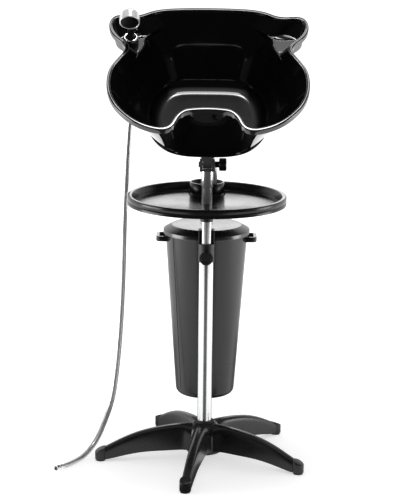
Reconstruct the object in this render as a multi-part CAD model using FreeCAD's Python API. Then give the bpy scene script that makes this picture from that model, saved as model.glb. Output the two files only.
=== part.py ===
import FreeCAD, Part
import math
import os
from FreeCAD import Vector

# Portable shampoo basin on a telescopic column with a five-leg base, tray and drain bucket.
# Millimetres, +Z up, origin on the floor under the column, front of the basin towards -Y.

# Clearances, edge breaks and the overrun of cutting tools
SLIDE_FIT = 0.1
RUNNING_FIT = 0.05
LOOSE_FIT = 0.4
EDGE = 1.0
SOFT_EDGE = 2.0
OVER = 1.0

# Five-leg base
LEG_COUNT = 5
LEG_START_ANGLE = -99.6
FOOT_RADIUS = 257.0
BOSS_D = 28.0
BOSS_OUTER_HEIGHT = 24.0
BOSS_INNER_HEIGHT = 37.0
GLIDE_D = 24.0
GLIDE_THICK = 3.0
GLIDE_STEM_D = 8.0
GLIDE_STEM_LENGTH = 14.0
HUB_D = 88.0
HUB_BOTTOM = 16.0
HUB_SHOULDER = 62.0
HUB_TOP_D = 52.0
HUB_TOP = 90.0
HUB_TOP_CHAMFER = 4.0
HUB_FLOOR = 14.0
LEG_WALL = 3.5
CREST_SHARE = 0.6
# Share of the foot radius, underside height, ridge height, half width of the side walls and of the ridge
LEG_STATIONS = [
    (0.086, 24.0, 88.0, 15.0, 8.0), (0.233, 24.0, 87.2, 14.5, 7.2), (0.350, 23.0, 85.0, 14.0, 6.5),
    (0.467, 22.6, 80.6, 13.5, 6.2), (0.584, 21.5, 74.5, 13.0, 6.0), (0.681, 18.5, 66.8, 12.8, 6.0),
    (0.778, 14.0, 57.0, 12.5, 6.0), (0.872, 8.6, 45.5, 12.2, 6.0), (0.957, 4.0, 34.0, 12.0, 6.0),
]
HUB_RING_D = 47.0
HUB_RING_HEIGHT = 5.0

# Column
OUTER_TUBE_D = 35.0
OUTER_TUBE_WALL = 1.5
OUTER_TUBE_TOP = 538.0
INNER_TUBE_D = 25.0
INNER_TUBE_WALL = 1.5
TUBE_PLUG_LENGTH = 40.0
BASE_BOLT_D = 10.0
BASE_BOLT_HEAD_FLATS = 17.0
BASE_BOLT_HEAD_HEIGHT = 6.0
BASE_BOLT_SHORT = 6.0
BASE_WASHER_D = 28.0
BASE_WASHER_THICK = 2.0
COLLAR_D = 39.0
COLLAR_LENGTH = 41.0
COLLAR_CAP = 3.0
GUIDE_BUSH_LENGTH = 34.0
FOOT_BUSH_LENGTH = 24.0

# Height lock knob
HEIGHT_KNOB_DROP = 27.0
HEIGHT_KNOB_D = 34.0
HEIGHT_KNOB_THICK = 13.0
HEIGHT_KNOB_NECK = 5.0
HEIGHT_KNOB_HUB_D = 18.0
HEIGHT_KNOB_DISH_D = 22.0
HEIGHT_KNOB_DISH = 1.5
HEIGHT_KNOB_FACE = 4.0
COLLAR_BOSS_D = 20.0
COLLAR_BOSS_REACH = 24.0
LOCK_STUD_D = 8.0

# Tray
TRAY_R = 191.5
TRAY_FLOOR_Z = 637.0
TRAY_FLOOR_THICK = 3.0
TRAY_RIM_HEIGHT = 24.0
TRAY_RIM_WIDTH = 12.0
TRAY_RIM_THICK = 3.5
TRAY_WALL = 2.5
TRAY_WALL_DRAFT = 3.0
TRAY_SKIRT = 13.0
TRAY_BEAD = 8.0
TRAY_COLLAR_D = 31.0
TRAY_COLLAR_HEIGHT = 41.0
TRAY_FLANGE_D = 64.0
TRAY_FLANGE_THICK = 4.0
TRAY_SCREW_D = 5.0
HOSE_RING_D = 85.0
HOSE_RING_WALL = 4.0
HOSE_RING_HEIGHT = 31.5
HOSE_RING_FOOT = 3.0
HOSE_RING_Y = 120.0

# Tilt head
SLEEVE_D = 29.0
SLEEVE_BOTTOM = 680.0
SLEEVE_TAPER = 5.0
HEAD_BOTTOM = 720.0
HEAD_WIDTH = 36.0
HEAD_DEPTH = 32.0
HEAD_FLOOR = 4.0
HEAD_RIB = 2.5
SPIGOT_LENGTH = 32.0
PIVOT_Z = 735.0
EAR_R = 14.0
LUG_WIDTH = 22.0
LUG_R = 10.0
LUG_FLARE = 8.0
LUG_FLARE_START = 20.0
PIVOT_BOLT_D = 8.0
PIVOT_HEAD_D = 14.0
PIVOT_HEAD_THICK = 3.0
LUG_PLATE_X = 84.0
LUG_PLATE_Y = 56.0
LUG_PLATE_THICK = 5.0
LUG_PLATE_CORNER = 6.0
LUG_SCREW_D = 5.0
LUG_SCREW_HEAD_D = 9.0
LUG_SCREW_HEAD_HEIGHT = 3.0
LUG_SCREW_INSET = 9.0
PAD_THICK = 7.0

# Tilt lock knob
TILT_KNOB_D = 31.0
TILT_KNOB_START = 28.0
TILT_KNOB_THICK = 18.0
TILT_KNOB_HUB_D = 15.0
TILT_KNOB_LOBES = 6
LOBE_CUT_D = 10.0
LOBE_CUT_OUTSIDE = 2.5
TILT_INSERT_D = 12.0
TILT_INSERT_LENGTH = 18.0
TILT_KNOB_FACE = 4.0

# Basin: u to the right, v to the back, w up its own axis, all from the tilt pivot
BASIN_TILT = 35.0
FLOOR_W = 75.0
RIM_W = 250.0
BASIN_WALL = 3.5
FLOOR_ROUND = 22.0
# Share of the floor rounding: how far inside the wall line, how high above the floor
FLOOR_TURN = [(0.75, 0.0), (0.42, 0.1), (0.16, 0.36)]
FLOOR_TURN_TOP = 0.8
LIP_WIDTH = 10.0
LIP_THICK = 3.5
LIP_ROUND = 2.5
LIP_BEVEL = 0.3
LIP_OVERLAP = 0.5
SKIRT_HEIGHT = 14.0
SKIRT_WALL = 3.0
# Corner points of the right half, back centre to front centre
RIM_CORNERS = [
    (58, 281), (128, 274), (170, 247), (222, 256), (240, 224), (231, 180), (189, 138), (212, 98),
    (234, 55), (234, -18), (209, -78), (156, -132), (82, -152), (61, -84), (20, -77),
]
BOWL_CORNERS = [
    (58, 281), (128, 274), (160, 250), (175, 222), (182, 195), (186, 165), (191, 134), (212, 98),
    (234, 55), (234, -18), (209, -78), (156, -132), (82, -152), (61, -84), (20, -77),
]
FLOOR_CORNERS = [
    (30, 196), (62, 195), (90, 188), (111, 174), (127, 155), (138, 132), (145, 106), (148, 78),
    (147, 52), (142, 26), (134, 0), (118, -26), (94, -48), (60, -60), (20, -63),
]
SHELF_U = 185.0
SHELF_V = 190.0
SHELF_R = 34.0
SHELF_DEPTH = 35.0
POCKET_MOUTH_U = 190.0
POCKET_MOUTH_V = 206.0
POCKET_MOUTH_R = 37.0

# Drain
DRAIN_V = 70.0
DRAIN_FLANGE_D = 62.0
DRAIN_FLANGE_THICK = 2.5
DRAIN_BODY_D = 40.0
DRAIN_BORE_D = 34.0
DRAIN_THREAD_LENGTH = 22.0
DRAIN_GASKET_D = 58.0
DRAIN_GASKET_THICK = 2.5
DRAIN_NUT_FLATS = 48.0
DRAIN_NUT_THICK = 7.0
TAIL_D = 19.0
TAIL_BORE_D = 15.0
TAIL_LENGTH = 20.0
TAIL_CONE = 12.0
TAIL_CAP_WALL = 3.0
TAIL_CAP_DEPTH = 9.0
STRAINER_D = 46.0
STRAINER_THICK = 2.0
STRAINER_SKIRT = 8.0
STRAINER_SKIRT_WALL = 2.1
STRAINER_KNOB_D = 11.0
STRAINER_KNOB_STEM_D = 6.0
STRAINER_KNOB_HEIGHT = 11.0
STRAINER_HOLES = 8
STRAINER_HOLE_D = 5.0
STRAINER_HOLE_R = 10.5
DRAIN_HOSE_D = 24.0

# Sprayer and its holder
SHANK_D = 21.0
SHANK_BORE_D = 14.6
SHANK_DROP = 62.0
SHANK_FLANGE_D = 33.0
SHANK_FLANGE_THICK = 4.0
HOLDER_GASKET_D = 40.0
HOLDER_GASKET_THICK = 2.0
HOLDER_RING_D = 36.5
HOLDER_RING_BORE_D = 25.0
HOLDER_RING_HEIGHT = 13.0
HOLDER_RING_TAPER = 3.0
HOLDER_NUT_FLATS = 29.0
HOLDER_NUT_THICK = 8.0
HANDLE_FOOT_D = 24.0
HANDLE_FOOT_HEIGHT = 8.0
HANDLE_NECK_D = 17.0
HANDLE_NECK_TAPER = 1.5
HANDLE_NECK_START = 6.0
HANDLE_BORE_D = 8.0
HANDLE_BORE_END = 6.0
HANDLE_TOP_DROP = 11.0
SPRAY_HEAD_W = 293.0
SPRAY_FACE_V = 170.0
SPRAY_HEAD_D = 48.0
SPRAY_HEAD_DIP = 9.5
# Depth behind the face and how much the radius has closed in
SPRAY_BELL = [(20.0, 0.0), (26.0, 2.5), (31.0, 6.5)]
SPRAY_HEAD_DEPTH = 34.0
SPRAY_BACK_D = 22.0
SPRAY_WALL = 3.0
SPRAY_ROOM = [(9.0, 4.0), (19.0, 11.0)]
SPRAY_FACE_D = 42.0
SPRAY_FACE_THICK = 3.0
SPRAY_FERRULE_D = 13.6
SPRAY_FERRULE_LENGTH = 56.0

# Spray hose: a hand-laid route from the holder to the floor in front of the left leg
SPRAY_HOSE_D = 13.0
SPRAY_HOSE_BORE_D = 8.0
SPRAY_HOSE_STRAIGHT = 84.6
SPRAY_HOSE_UPPER = [(-189.0, 123.0, 838.0), (-196.0, 122.0, 752.0), (-200.0, 116.0, 660.0)]
SPRAY_HOSE_LOWER = [
    (-200.0, 116.0, 660.0), (-204.0, 110.0, 568.0), (-205.3, 107.0, 470.0), (-208.3, 100.5, 378.0),
    (-213.0, 91.5, 290.0), (-220.0, 79.5, 205.0), (-230.0, 65.0, 125.0), (-252.5, 41.5, 63.0),
    (-266.5, 21.0, 34.0), (-281.0, -2.0, 17.0), (-296.0, -34.0, 8.3), (-315.0, -66.0, 6.8),
    (-331.0, -93.0, 7.2), (-341.0, -107.0, 8.1),
]
HOSE_FERRULE_D = 15.0
HOSE_FERRULE_LENGTH = 14.0
END_NUT_D = 17.0
END_NUT_BORE_D = 10.0
END_NUT_LENGTH = 13.0
BEND_SHARE = 0.45

# Drain hose: from the tail under the basin through the tray ring and the lid into the bucket
DRAIN_HOSE_ROUTE = [
    (0.0, 69.0, 758.5), (9.0, 88.0, 722.0), (14.5, 102.0, 690.0), (9.0, 116.0, 655.0),
    (1.5, 130.0, 612.0), (0.0, 132.0, 560.0), (0.0, 132.0, 250.0),
]

# Bucket, lid and hanger
BUCKET_Y = 132.0
BUCKET_TOP_R = 102.5
BUCKET_BOTTOM_R = 72.5
BUCKET_RISE = 8.0
BUCKET_HEIGHT = 419.0
BUCKET_WALL = 2.5
BUCKET_CORNER = 14.0
BUCKET_CORNER_TURN = 45.0
BUCKET_ROLL_R = 104.4
BUCKET_ROLL_HEIGHT = 4.0
HANDLE_REACH = 125.0
HANDLE_WIDTH = 62.0
HANDLE_THICK = 13.0
HANDLE_BAR = 9.0
HANDLE_CORNER = 12.0
HANDLE_ROOT = 8.0
HANDLE_DROP = 24.0
LID_R = 107.5
LID_SKIRT = 11.0
LID_GRIP = 2.0
LID_TOP_R = 87.0
LID_TOP_EDGE = 3.0
LID_BEVEL = 11.5
LID_WALL = 2.5
LID_SEAT_LEDGE = 2.0
LID_HOLE_CLEARANCE = 3.0
HANGER_WIDTH = 39.0
HANGER_RISE = 33.0
HANGER_FRONT = -6.0
HANGER_BACK = 21.0
HANGER_CORNER = 4.0
HANGER_DROP = 46.0
HANGER_LEDGE_DROP = 5.0
HANGER_SLOT_WIDTH = 24.0
HANGER_NECK_WIDTH = 14.0
HANGER_SLOT_FLOOR = 5.0
HANGER_BACK_WALL = 2.5
HANGER_SCREW_D = 4.0
HANGER_SCREW_DROP = 20.0
HOOK_THICK = 4.0
HOOK_DROP = 8.0
HOOK_FOOT_THICK = 2.0
HOOK_FOOT_DROP = 12.0
HOOK_SEAT = 0.3

os.makedirs("parts", exist_ok=True)
X_AXIS = Vector(1, 0, 0)
Y_AXIS = Vector(0, 1, 0)
Z_AXIS = Vector(0, 0, 1)
ORIGIN = Vector(0, 0, 0)
PIVOT = Vector(0, 0, PIVOT_Z)


def save(name, shape):
    shape.exportStep("parts/" + name + ".step")


def rod(diameter, low, high, x=0.0, y=0.0):
    return Part.makeCylinder(diameter / 2, high - low, Vector(x, y, low), Z_AXIS)


def ring(outer_d, bore_d, low, high, x=0.0, y=0.0):
    return rod(outer_d, low, high, x, y).cut(rod(bore_d, low - OVER, high + OVER, x, y))


def rod_x(diameter, start, end, y=0.0, z=0.0):
    return Part.makeCylinder(diameter / 2, end - start, Vector(start, y, z), X_AXIS)


def rod_y(diameter, start, end, x=0.0, z=0.0):
    return Part.makeCylinder(diameter / 2, end - start, Vector(x, start, z), Y_AXIS)


def block(x_size, y_low, y_high, z_low, z_high):
    return Part.makeBox(x_size, y_high - y_low, z_high - z_low, Vector(-x_size / 2, y_low, z_low))


def flat(points):
    return Part.Face(Part.makePolygon(points + points[:1]))


def upright_edges(shape):
    return [e for e in shape.Edges if abs(e.tangentAt(e.FirstParameter).z) > 0.9]


def hexagon(across_flats, low, high, x=0.0, y=0.0):
    corner = across_flats / math.sqrt(3)
    points = []
    for k in range(6):
        angle = math.radians(60 * k)
        points.append(Vector(x + corner * math.cos(angle), y + corner * math.sin(angle), low))
    return flat(points).extrude(Vector(0, 0, high - low))


def turned(profile, x=0.0, y=0.0):
    # A solid of revolution from radius and height pairs
    solid = flat([Vector(r, 0, z) for r, z in profile]).revolve(ORIGIN, Z_AXIS, 360)
    solid.translate(Vector(x, y, 0))
    return solid


def in_basin(shape):
    # From the basin's own u, v, w to its place at rest
    placed = shape.copy()
    placed.translate(PIVOT)
    placed.rotate(PIVOT, X_AXIS, BASIN_TILT)
    return placed


def basin_point(u, v, w):
    lean = math.radians(BASIN_TILT)
    return Vector(u, v * math.cos(lean) - w * math.sin(lean),
                  PIVOT_Z + v * math.sin(lean) + w * math.cos(lean))


# Base

def leg_section(station, inset, drop):
    share, underside, ridge, half_side, half_ridge = station
    radius = share * FOOT_RADIUS
    side = half_side - inset
    crest = half_ridge - inset * CREST_SHARE
    shoulder = ridge - inset - (half_side - half_ridge)
    low = underside - drop
    points = [(-side, low), (-side, shoulder), (-crest, ridge - inset),
              (crest, ridge - inset), (side, shoulder), (side, low)]
    corners = [Vector(radius, y, z) for y, z in points]
    return Part.makePolygon(corners + corners[:1])


def leg_loft(inset, drop):
    return Part.makeLoft([leg_section(s, inset, drop) for s in LEG_STATIONS], True, True)


def foot_boss():
    # A round socket whose top slopes down outwards
    side = -BOSS_D / 2 - OVER
    inner = FOOT_RADIUS - BOSS_D / 2 - OVER
    outer = FOOT_RADIUS + BOSS_D / 2 + OVER
    top = BOSS_INNER_HEIGHT + OVER
    above = flat([Vector(inner, side, BOSS_INNER_HEIGHT), Vector(outer, side, BOSS_OUTER_HEIGHT),
                  Vector(outer, side, top + OVER), Vector(inner, side, top + OVER)])
    boss = rod(BOSS_D, GLIDE_THICK, top, FOOT_RADIUS)
    return boss.cut(above.extrude(Vector(0, -2 * side, 0)))


def base_leg():
    hub_r = HUB_D / 2
    end_wall = FOOT_RADIUS - BOSS_D / 2 - LEG_WALL
    room = Part.makeBox(end_wall - hub_r, HUB_D, HUB_D, Vector(hub_r, -hub_r, -HUB_BOTTOM))
    hollow = leg_loft(LEG_WALL, LEG_WALL * 2).common(room)
    stem_hole = rod(GLIDE_STEM_D, 0, GLIDE_THICK + GLIDE_STEM_LENGTH, FOOT_RADIUS)
    return leg_loft(0, 0).fuse(foot_boss()).cut(hollow).cut(stem_hole)


def base_star():
    hub_r = HUB_D / 2
    top_r = HUB_TOP_D / 2
    star = turned([(0, HUB_BOTTOM), (hub_r, HUB_BOTTOM), (hub_r, HUB_SHOULDER),
                   (top_r + HUB_TOP_CHAMFER, HUB_TOP - HUB_TOP_CHAMFER), (top_r, HUB_TOP), (0, HUB_TOP)])
    leg = base_leg()
    for k in range(LEG_COUNT):
        copy = leg.copy()
        copy.rotate(ORIGIN, Z_AXIS, LEG_START_ANGLE + k * 360 / LEG_COUNT)
        star = star.fuse(copy)
    star = star.cut(rod(OUTER_TUBE_D + 2 * SLIDE_FIT, HUB_BOTTOM + HUB_FLOOR, HUB_TOP + OVER))
    star = star.cut(rod(BASE_BOLT_D + 2 * SLIDE_FIT, 0, HUB_TOP))
    recess_top = HUB_BOTTOM + BASE_BOLT_HEAD_HEIGHT + BASE_WASHER_THICK
    return star.cut(rod(BASE_WASHER_D + LOOSE_FIT, 0, recess_top))


def foot_glide(index):
    stem_top = GLIDE_THICK + GLIDE_STEM_LENGTH
    glide = rod(GLIDE_D, 0, GLIDE_THICK, FOOT_RADIUS)
    glide = glide.fuse(rod(GLIDE_STEM_D - 2 * RUNNING_FIT, GLIDE_THICK, stem_top, FOOT_RADIUS))
    glide.rotate(ORIGIN, Z_AXIS, LEG_START_ANGLE + index * 360 / LEG_COUNT)
    return glide.removeSplitter()


save("base_star", base_star())
for k in range(LEG_COUNT):
    save("foot_glide_%d" % (k + 1), foot_glide(k))
save("hub_ring", ring(HUB_RING_D, OUTER_TUBE_D + 2 * SLIDE_FIT, HUB_TOP, HUB_TOP + HUB_RING_HEIGHT))

tube_bottom = HUB_BOTTOM + HUB_FLOOR
plug_top = tube_bottom + TUBE_PLUG_LENGTH
outer_bore = OUTER_TUBE_D - 2 * OUTER_TUBE_WALL
save("tube_plug", ring(outer_bore, BASE_BOLT_D, tube_bottom, plug_top))
bolt_head_top = HUB_BOTTOM + BASE_BOLT_HEAD_HEIGHT
washer_top = bolt_head_top + BASE_WASHER_THICK
save("base_washer", ring(BASE_WASHER_D, BASE_BOLT_D + 2 * SLIDE_FIT, bolt_head_top, washer_top))
bolt_head = hexagon(BASE_BOLT_HEAD_FLATS, HUB_BOTTOM, bolt_head_top)
base_bolt = bolt_head.fuse(rod(BASE_BOLT_D, bolt_head_top, plug_top - BASE_BOLT_SHORT))
save("base_bolt", base_bolt.removeSplitter())

# Column

collar_bore = OUTER_TUBE_D + 2 * SLIDE_FIT
collar_top = OUTER_TUBE_TOP + COLLAR_CAP
collar_bottom = OUTER_TUBE_TOP - COLLAR_LENGTH
height_knob_z = OUTER_TUBE_TOP - HEIGHT_KNOB_DROP
hanger_screw_z = OUTER_TUBE_TOP - HANGER_SCREW_DROP
stud_tip = -INNER_TUBE_D / 2 - LOOSE_FIT
stud_hole_d = LOCK_STUD_D + 2 * LOOSE_FIT
stud_hole = rod_y(stud_hole_d, -COLLAR_BOSS_REACH - OVER, -INNER_TUBE_D / 2, 0, height_knob_z)
slot_front = COLLAR_D / 2 + LOOSE_FIT + HANGER_BACK_WALL
screw_tip = OUTER_TUBE_D / 2 - OUTER_TUBE_WALL / 2
hanger_screw = rod_y(HANGER_SCREW_D, screw_tip, slot_front, 0, hanger_screw_z)

outer_tube = ring(OUTER_TUBE_D, outer_bore, tube_bottom, OUTER_TUBE_TOP)
save("outer_tube", outer_tube.cut(stud_hole).cut(hanger_screw))

collar = ring(COLLAR_D, collar_bore, collar_bottom, OUTER_TUBE_TOP)
collar = collar.fuse(ring(COLLAR_D, INNER_TUBE_D + 2 * LOOSE_FIT, OUTER_TUBE_TOP, collar_top))
collar_boss = rod_y(COLLAR_BOSS_D, -COLLAR_BOSS_REACH, 0, 0, height_knob_z)
collar_boss = collar_boss.cut(rod(collar_bore, collar_bottom, OUTER_TUBE_TOP))
collar = collar.fuse(collar_boss)
save("column_collar", collar.cut(stud_hole).cut(hanger_screw).removeSplitter())

bush_low = OUTER_TUBE_TOP - GUIDE_BUSH_LENGTH
guide_bush = ring(outer_bore, INNER_TUBE_D + 2 * SLIDE_FIT, bush_low, OUTER_TUBE_TOP)
save("guide_bush", guide_bush.cut(stud_hole))

inner_bore = INNER_TUBE_D - 2 * INNER_TUBE_WALL
save("inner_tube", ring(INNER_TUBE_D, inner_bore, plug_top, HEAD_BOTTOM))
foot_bush_d = outer_bore - 2 * SLIDE_FIT
save("foot_bush", ring(foot_bush_d, INNER_TUBE_D, plug_top, plug_top + FOOT_BUSH_LENGTH))

# Height lock knob: a disc on a hub, moulded round a stud that bears on the inner tube

knob_back = -COLLAR_BOSS_REACH - LOOSE_FIT
knob_front = knob_back - HEIGHT_KNOB_THICK
disc_back = knob_back - HEIGHT_KNOB_NECK
knob = rod_y(HEIGHT_KNOB_D, knob_front, disc_back, 0, height_knob_z)
knob = knob.makeFillet(SOFT_EDGE, [e for e in knob.Edges if e.Closed])
knob = knob.fuse(rod_y(HEIGHT_KNOB_HUB_D, disc_back - OVER, knob_back, 0, height_knob_z))
dish = rod_y(HEIGHT_KNOB_DISH_D, knob_front - OVER, knob_front + HEIGHT_KNOB_DISH, 0, height_knob_z)
stud = rod_y(LOCK_STUD_D, knob_front + HEIGHT_KNOB_FACE, stud_tip, 0, height_knob_z)
save("height_knob", knob.cut(dish).cut(stud).removeSplitter())
save("height_knob_stud", stud)

# Tray with its clamp collar

def tray():
    rim_top = TRAY_FLOOR_Z + TRAY_RIM_HEIGHT
    rim_under = rim_top - TRAY_RIM_THICK
    bead_top = rim_top - TRAY_SKIRT
    bead_low = bead_top - TRAY_BEAD
    floor_top = TRAY_FLOOR_Z + TRAY_FLOOR_THICK
    wall_low_r = TRAY_R - TRAY_RIM_WIDTH
    wall_top_r = wall_low_r + TRAY_WALL_DRAFT
    bore = INNER_TUBE_D / 2 + LOOSE_FIT
    skirt_r = TRAY_R - TRAY_WALL
    profile = [
        (bore, TRAY_FLOOR_Z), (wall_low_r - 2 * SOFT_EDGE, TRAY_FLOOR_Z),
        (wall_low_r, TRAY_FLOOR_Z + 2 * SOFT_EDGE), (wall_top_r, rim_under), (skirt_r - EDGE, rim_under),
        (skirt_r, bead_top), (skirt_r, bead_low), (TRAY_R, bead_low), (TRAY_R, bead_top),
        (TRAY_R - EDGE, bead_top + EDGE), (TRAY_R, rim_top - SOFT_EDGE), (TRAY_R - SOFT_EDGE, rim_top),
        (wall_top_r, rim_top), (wall_top_r - TRAY_WALL, rim_top - SOFT_EDGE),
        (wall_low_r - TRAY_WALL, floor_top + 2 * SOFT_EDGE),
        (wall_low_r - TRAY_WALL - 2 * SOFT_EDGE, floor_top), (bore, floor_top),
    ]
    ring_r = HOSE_RING_D / 2
    hole_r = ring_r - HOSE_RING_WALL
    ring_top = floor_top + HOSE_RING_HEIGHT
    foot_r = ring_r + HOSE_RING_FOOT
    spout = turned([
        (hole_r, TRAY_FLOOR_Z), (foot_r, TRAY_FLOOR_Z), (foot_r, floor_top + EDGE),
        (ring_r, floor_top + HOSE_RING_FOOT + EDGE), (ring_r, ring_top - EDGE), (ring_r - EDGE, ring_top),
        (hole_r + EDGE, ring_top), (hole_r, ring_top - EDGE),
    ], 0, HOSE_RING_Y)
    hole = rod(2 * hole_r, TRAY_FLOOR_Z - OVER, floor_top + OVER, 0, HOSE_RING_Y)
    return turned(profile).cut(hole).fuse(spout).removeSplitter()


save("tray", tray())
tray_collar_bottom = TRAY_FLOOR_Z - TRAY_COLLAR_HEIGHT
flange_low = TRAY_FLOOR_Z - TRAY_FLANGE_THICK
tray_collar = ring(TRAY_COLLAR_D, INNER_TUBE_D, tray_collar_bottom, TRAY_FLOOR_Z)
tray_collar = tray_collar.fuse(ring(TRAY_FLANGE_D, INNER_TUBE_D, flange_low, TRAY_FLOOR_Z))
tray_screw_z = TRAY_FLOOR_Z - TRAY_COLLAR_HEIGHT / 2
tray_screw = rod_x(TRAY_SCREW_D, INNER_TUBE_D / 2, TRAY_COLLAR_D / 2 + EDGE, 0, tray_screw_z)
save("tray_collar", tray_collar.cut(tray_screw).removeSplitter())
save("tray_set_screw", tray_screw)

# Tilt head

sleeve_r = SLEEVE_D / 2
tube_r = INNER_TUBE_D / 2
save("head_sleeve", turned([
    (tube_r, SLEEVE_BOTTOM), (tube_r + EDGE, SLEEVE_BOTTOM), (sleeve_r, SLEEVE_BOTTOM + SLEEVE_TAPER),
    (sleeve_r, HEAD_BOTTOM), (tube_r, HEAD_BOTTOM),
]))

ear_gap = LUG_WIDTH + 2 * LOOSE_FIT
pivot_hole_d = PIVOT_BOLT_D + 2 * RUNNING_FIT


def tilt_socket():
    # A fork with two ears, a rib on the front of each and a spigot into the inner tube
    half = HEAD_DEPTH / 2
    body = block(HEAD_WIDTH, -half, half, HEAD_BOTTOM, PIVOT_Z)
    body = body.fuse(rod_x(2 * EAR_R, -HEAD_WIDTH / 2, HEAD_WIDTH / 2, 0, PIVOT_Z))
    slot_top = PIVOT_Z + EAR_R + OVER
    body = body.cut(block(ear_gap, -half - OVER, half + OVER, HEAD_BOTTOM + HEAD_FLOOR, slot_top))
    front = -half - HEAD_RIB
    for side in (-1, 1):
        rib = flat([Vector(side * ear_gap / 2, front, HEAD_BOTTOM),
                    Vector(side * HEAD_WIDTH / 2, front, HEAD_BOTTOM),
                    Vector(side * HEAD_WIDTH / 2, front, PIVOT_Z - SOFT_EDGE)])
        body = body.fuse(rib.extrude(Vector(0, HEAD_RIB, 0)))
    spigot_d = inner_bore - 2 * RUNNING_FIT
    body = body.fuse(rod(spigot_d, HEAD_BOTTOM - SPIGOT_LENGTH, HEAD_BOTTOM))
    body = body.cut(rod_x(pivot_hole_d, -HEAD_WIDTH, HEAD_WIDTH, 0, PIVOT_Z))
    return body.removeSplitter()


save("tilt_socket", tilt_socket())
insert_start = TILT_KNOB_START - TILT_KNOB_FACE
insert_end = insert_start + TILT_INSERT_LENGTH
bolt_left = -HEAD_WIDTH / 2
bolt_right = insert_end - EDGE
pivot_bolt = rod_x(PIVOT_BOLT_D, bolt_left, bolt_right, 0, PIVOT_Z)
pivot_head = rod_x(PIVOT_HEAD_D, bolt_left - PIVOT_HEAD_THICK, bolt_left, 0, PIVOT_Z)
save("pivot_bolt", pivot_bolt.fuse(pivot_head).removeSplitter())

lug_top = FLOOR_W - PAD_THICK
plate_low = lug_top - LUG_PLATE_THICK
screw_top = FLOOR_W - EDGE
screw_u = LUG_PLATE_X / 2 - LUG_SCREW_INSET
screw_v = LUG_PLATE_Y / 2 - LUG_SCREW_INSET
screw_places = [(a * screw_u, b * screw_v) for a in (-1, 1) for b in (-1, 1)]


def tilt_lug():
    plate = block(LUG_PLATE_X, -LUG_PLATE_Y / 2, LUG_PLATE_Y / 2, plate_low, lug_top)
    plate = plate.makeFillet(LUG_PLATE_CORNER, upright_edges(plate))
    half = LUG_WIDTH / 2
    flare = HEAD_WIDTH / 2 + LUG_FLARE
    web = flat([Vector(-half, -LUG_R, 0), Vector(half, -LUG_R, 0), Vector(half, -LUG_R, LUG_FLARE_START),
                Vector(flare, -LUG_R, plate_low), Vector(-flare, -LUG_R, plate_low),
                Vector(-half, -LUG_R, LUG_FLARE_START)])
    stem = web.extrude(Vector(0, 2 * LUG_R, 0))
    lug = plate.fuse(stem).fuse(rod_x(2 * LUG_R, -half, half))
    lug = lug.cut(rod_x(pivot_hole_d, -LUG_WIDTH, LUG_WIDTH))
    for u, v in screw_places:
        lug = lug.cut(rod(LUG_SCREW_D, plate_low - OVER, lug_top + OVER, u, v))
    return lug.removeSplitter()


def lug_screws():
    screws = []
    for u, v in screw_places:
        screw = rod(LUG_SCREW_D, plate_low, screw_top, u, v)
        head = rod(LUG_SCREW_HEAD_D, plate_low - LUG_SCREW_HEAD_HEIGHT, plate_low, u, v)
        screws.append(screw.fuse(head).removeSplitter())
    return Part.makeCompound(screws)


save("tilt_lug", in_basin(tilt_lug()))
save("lug_screws", in_basin(lug_screws()))

# Tilt lock knob: a lobed grip on a hub, moulded round a threaded insert

def tilt_knob():
    start = TILT_KNOB_START
    end = start + TILT_KNOB_THICK
    grip = rod_x(TILT_KNOB_D, start, end, 0, PIVOT_Z)
    grip = grip.makeChamfer(SOFT_EDGE, [e for e in grip.Edges if e.Closed])
    reach = TILT_KNOB_D / 2 + LOBE_CUT_OUTSIDE
    for k in range(TILT_KNOB_LOBES):
        angle = math.radians((k + 0.5) * 360 / TILT_KNOB_LOBES)
        y = reach * math.cos(angle)
        z = PIVOT_Z + reach * math.sin(angle)
        grip = grip.cut(rod_x(LOBE_CUT_D, start - OVER, end + OVER, y, z))
    return grip.fuse(rod_x(TILT_KNOB_HUB_D, HEAD_WIDTH / 2 + LOOSE_FIT, start + OVER, 0, PIVOT_Z))


insert_hole = rod_x(TILT_INSERT_D, insert_start, insert_end, 0, PIVOT_Z)
bolt_way = rod_x(pivot_hole_d, HEAD_WIDTH / 2, insert_end, 0, PIVOT_Z)
save("tilt_knob", tilt_knob().cut(insert_hole).cut(bolt_way).removeSplitter())
save("tilt_knob_insert", insert_hole.cut(bolt_way))

# Basin shell

def mirrored(half):
    return half + [(-u, v) for u, v in reversed(half)]


def inset_corners(corners, amount):
    # Each corner of a clockwise outline moves inwards so that its two sides move by the amount
    moved = []
    count = len(corners)
    for i, (u, v) in enumerate(corners):
        before = corners[i - 1]
        after = corners[(i + 1) % count]
        a = Vector(u - before[0], v - before[1], 0).normalize()
        b = Vector(after[0] - u, after[1] - v, 0).normalize()
        normal = Vector(a.y + b.y, -a.x - b.x, 0)
        reach = amount * 2 / normal.dot(normal)
        moved.append((u + normal.x * reach, v + normal.y * reach))
    return moved


def between(low, high, share):
    return [(a[0] + (b[0] - a[0]) * share, a[1] + (b[1] - a[1]) * share) for a, b in zip(low, high)]


def outline(corners, w):
    # A smooth closed line in two halves that meet on the middle plane
    half = len(corners) // 2
    points = [Vector(u, v, w) for u, v in corners]
    back = (points[-1] + points[0]) * 0.5
    front = (points[half - 1] + points[half]) * 0.5
    edges = []
    for poles in ([back] + points[:half] + [front], [front] + points[half:] + [back]):
        curve = Part.BSplineCurve()
        curve.buildFromPoles(poles, False, 2)
        edges.append(curve.toShape())
    return Part.Wire(edges)


def prism(corners, low, high):
    return Part.Face(outline(corners, low)).extrude(Vector(0, 0, high - low))


rim_line = mirrored(RIM_CORNERS)
floor_line = mirrored(FLOOR_CORNERS)
bowl_line = inset_corners(mirrored(BOWL_CORNERS), LIP_WIDTH - BASIN_WALL)
wall_low = FLOOR_W + FLOOR_ROUND


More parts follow.
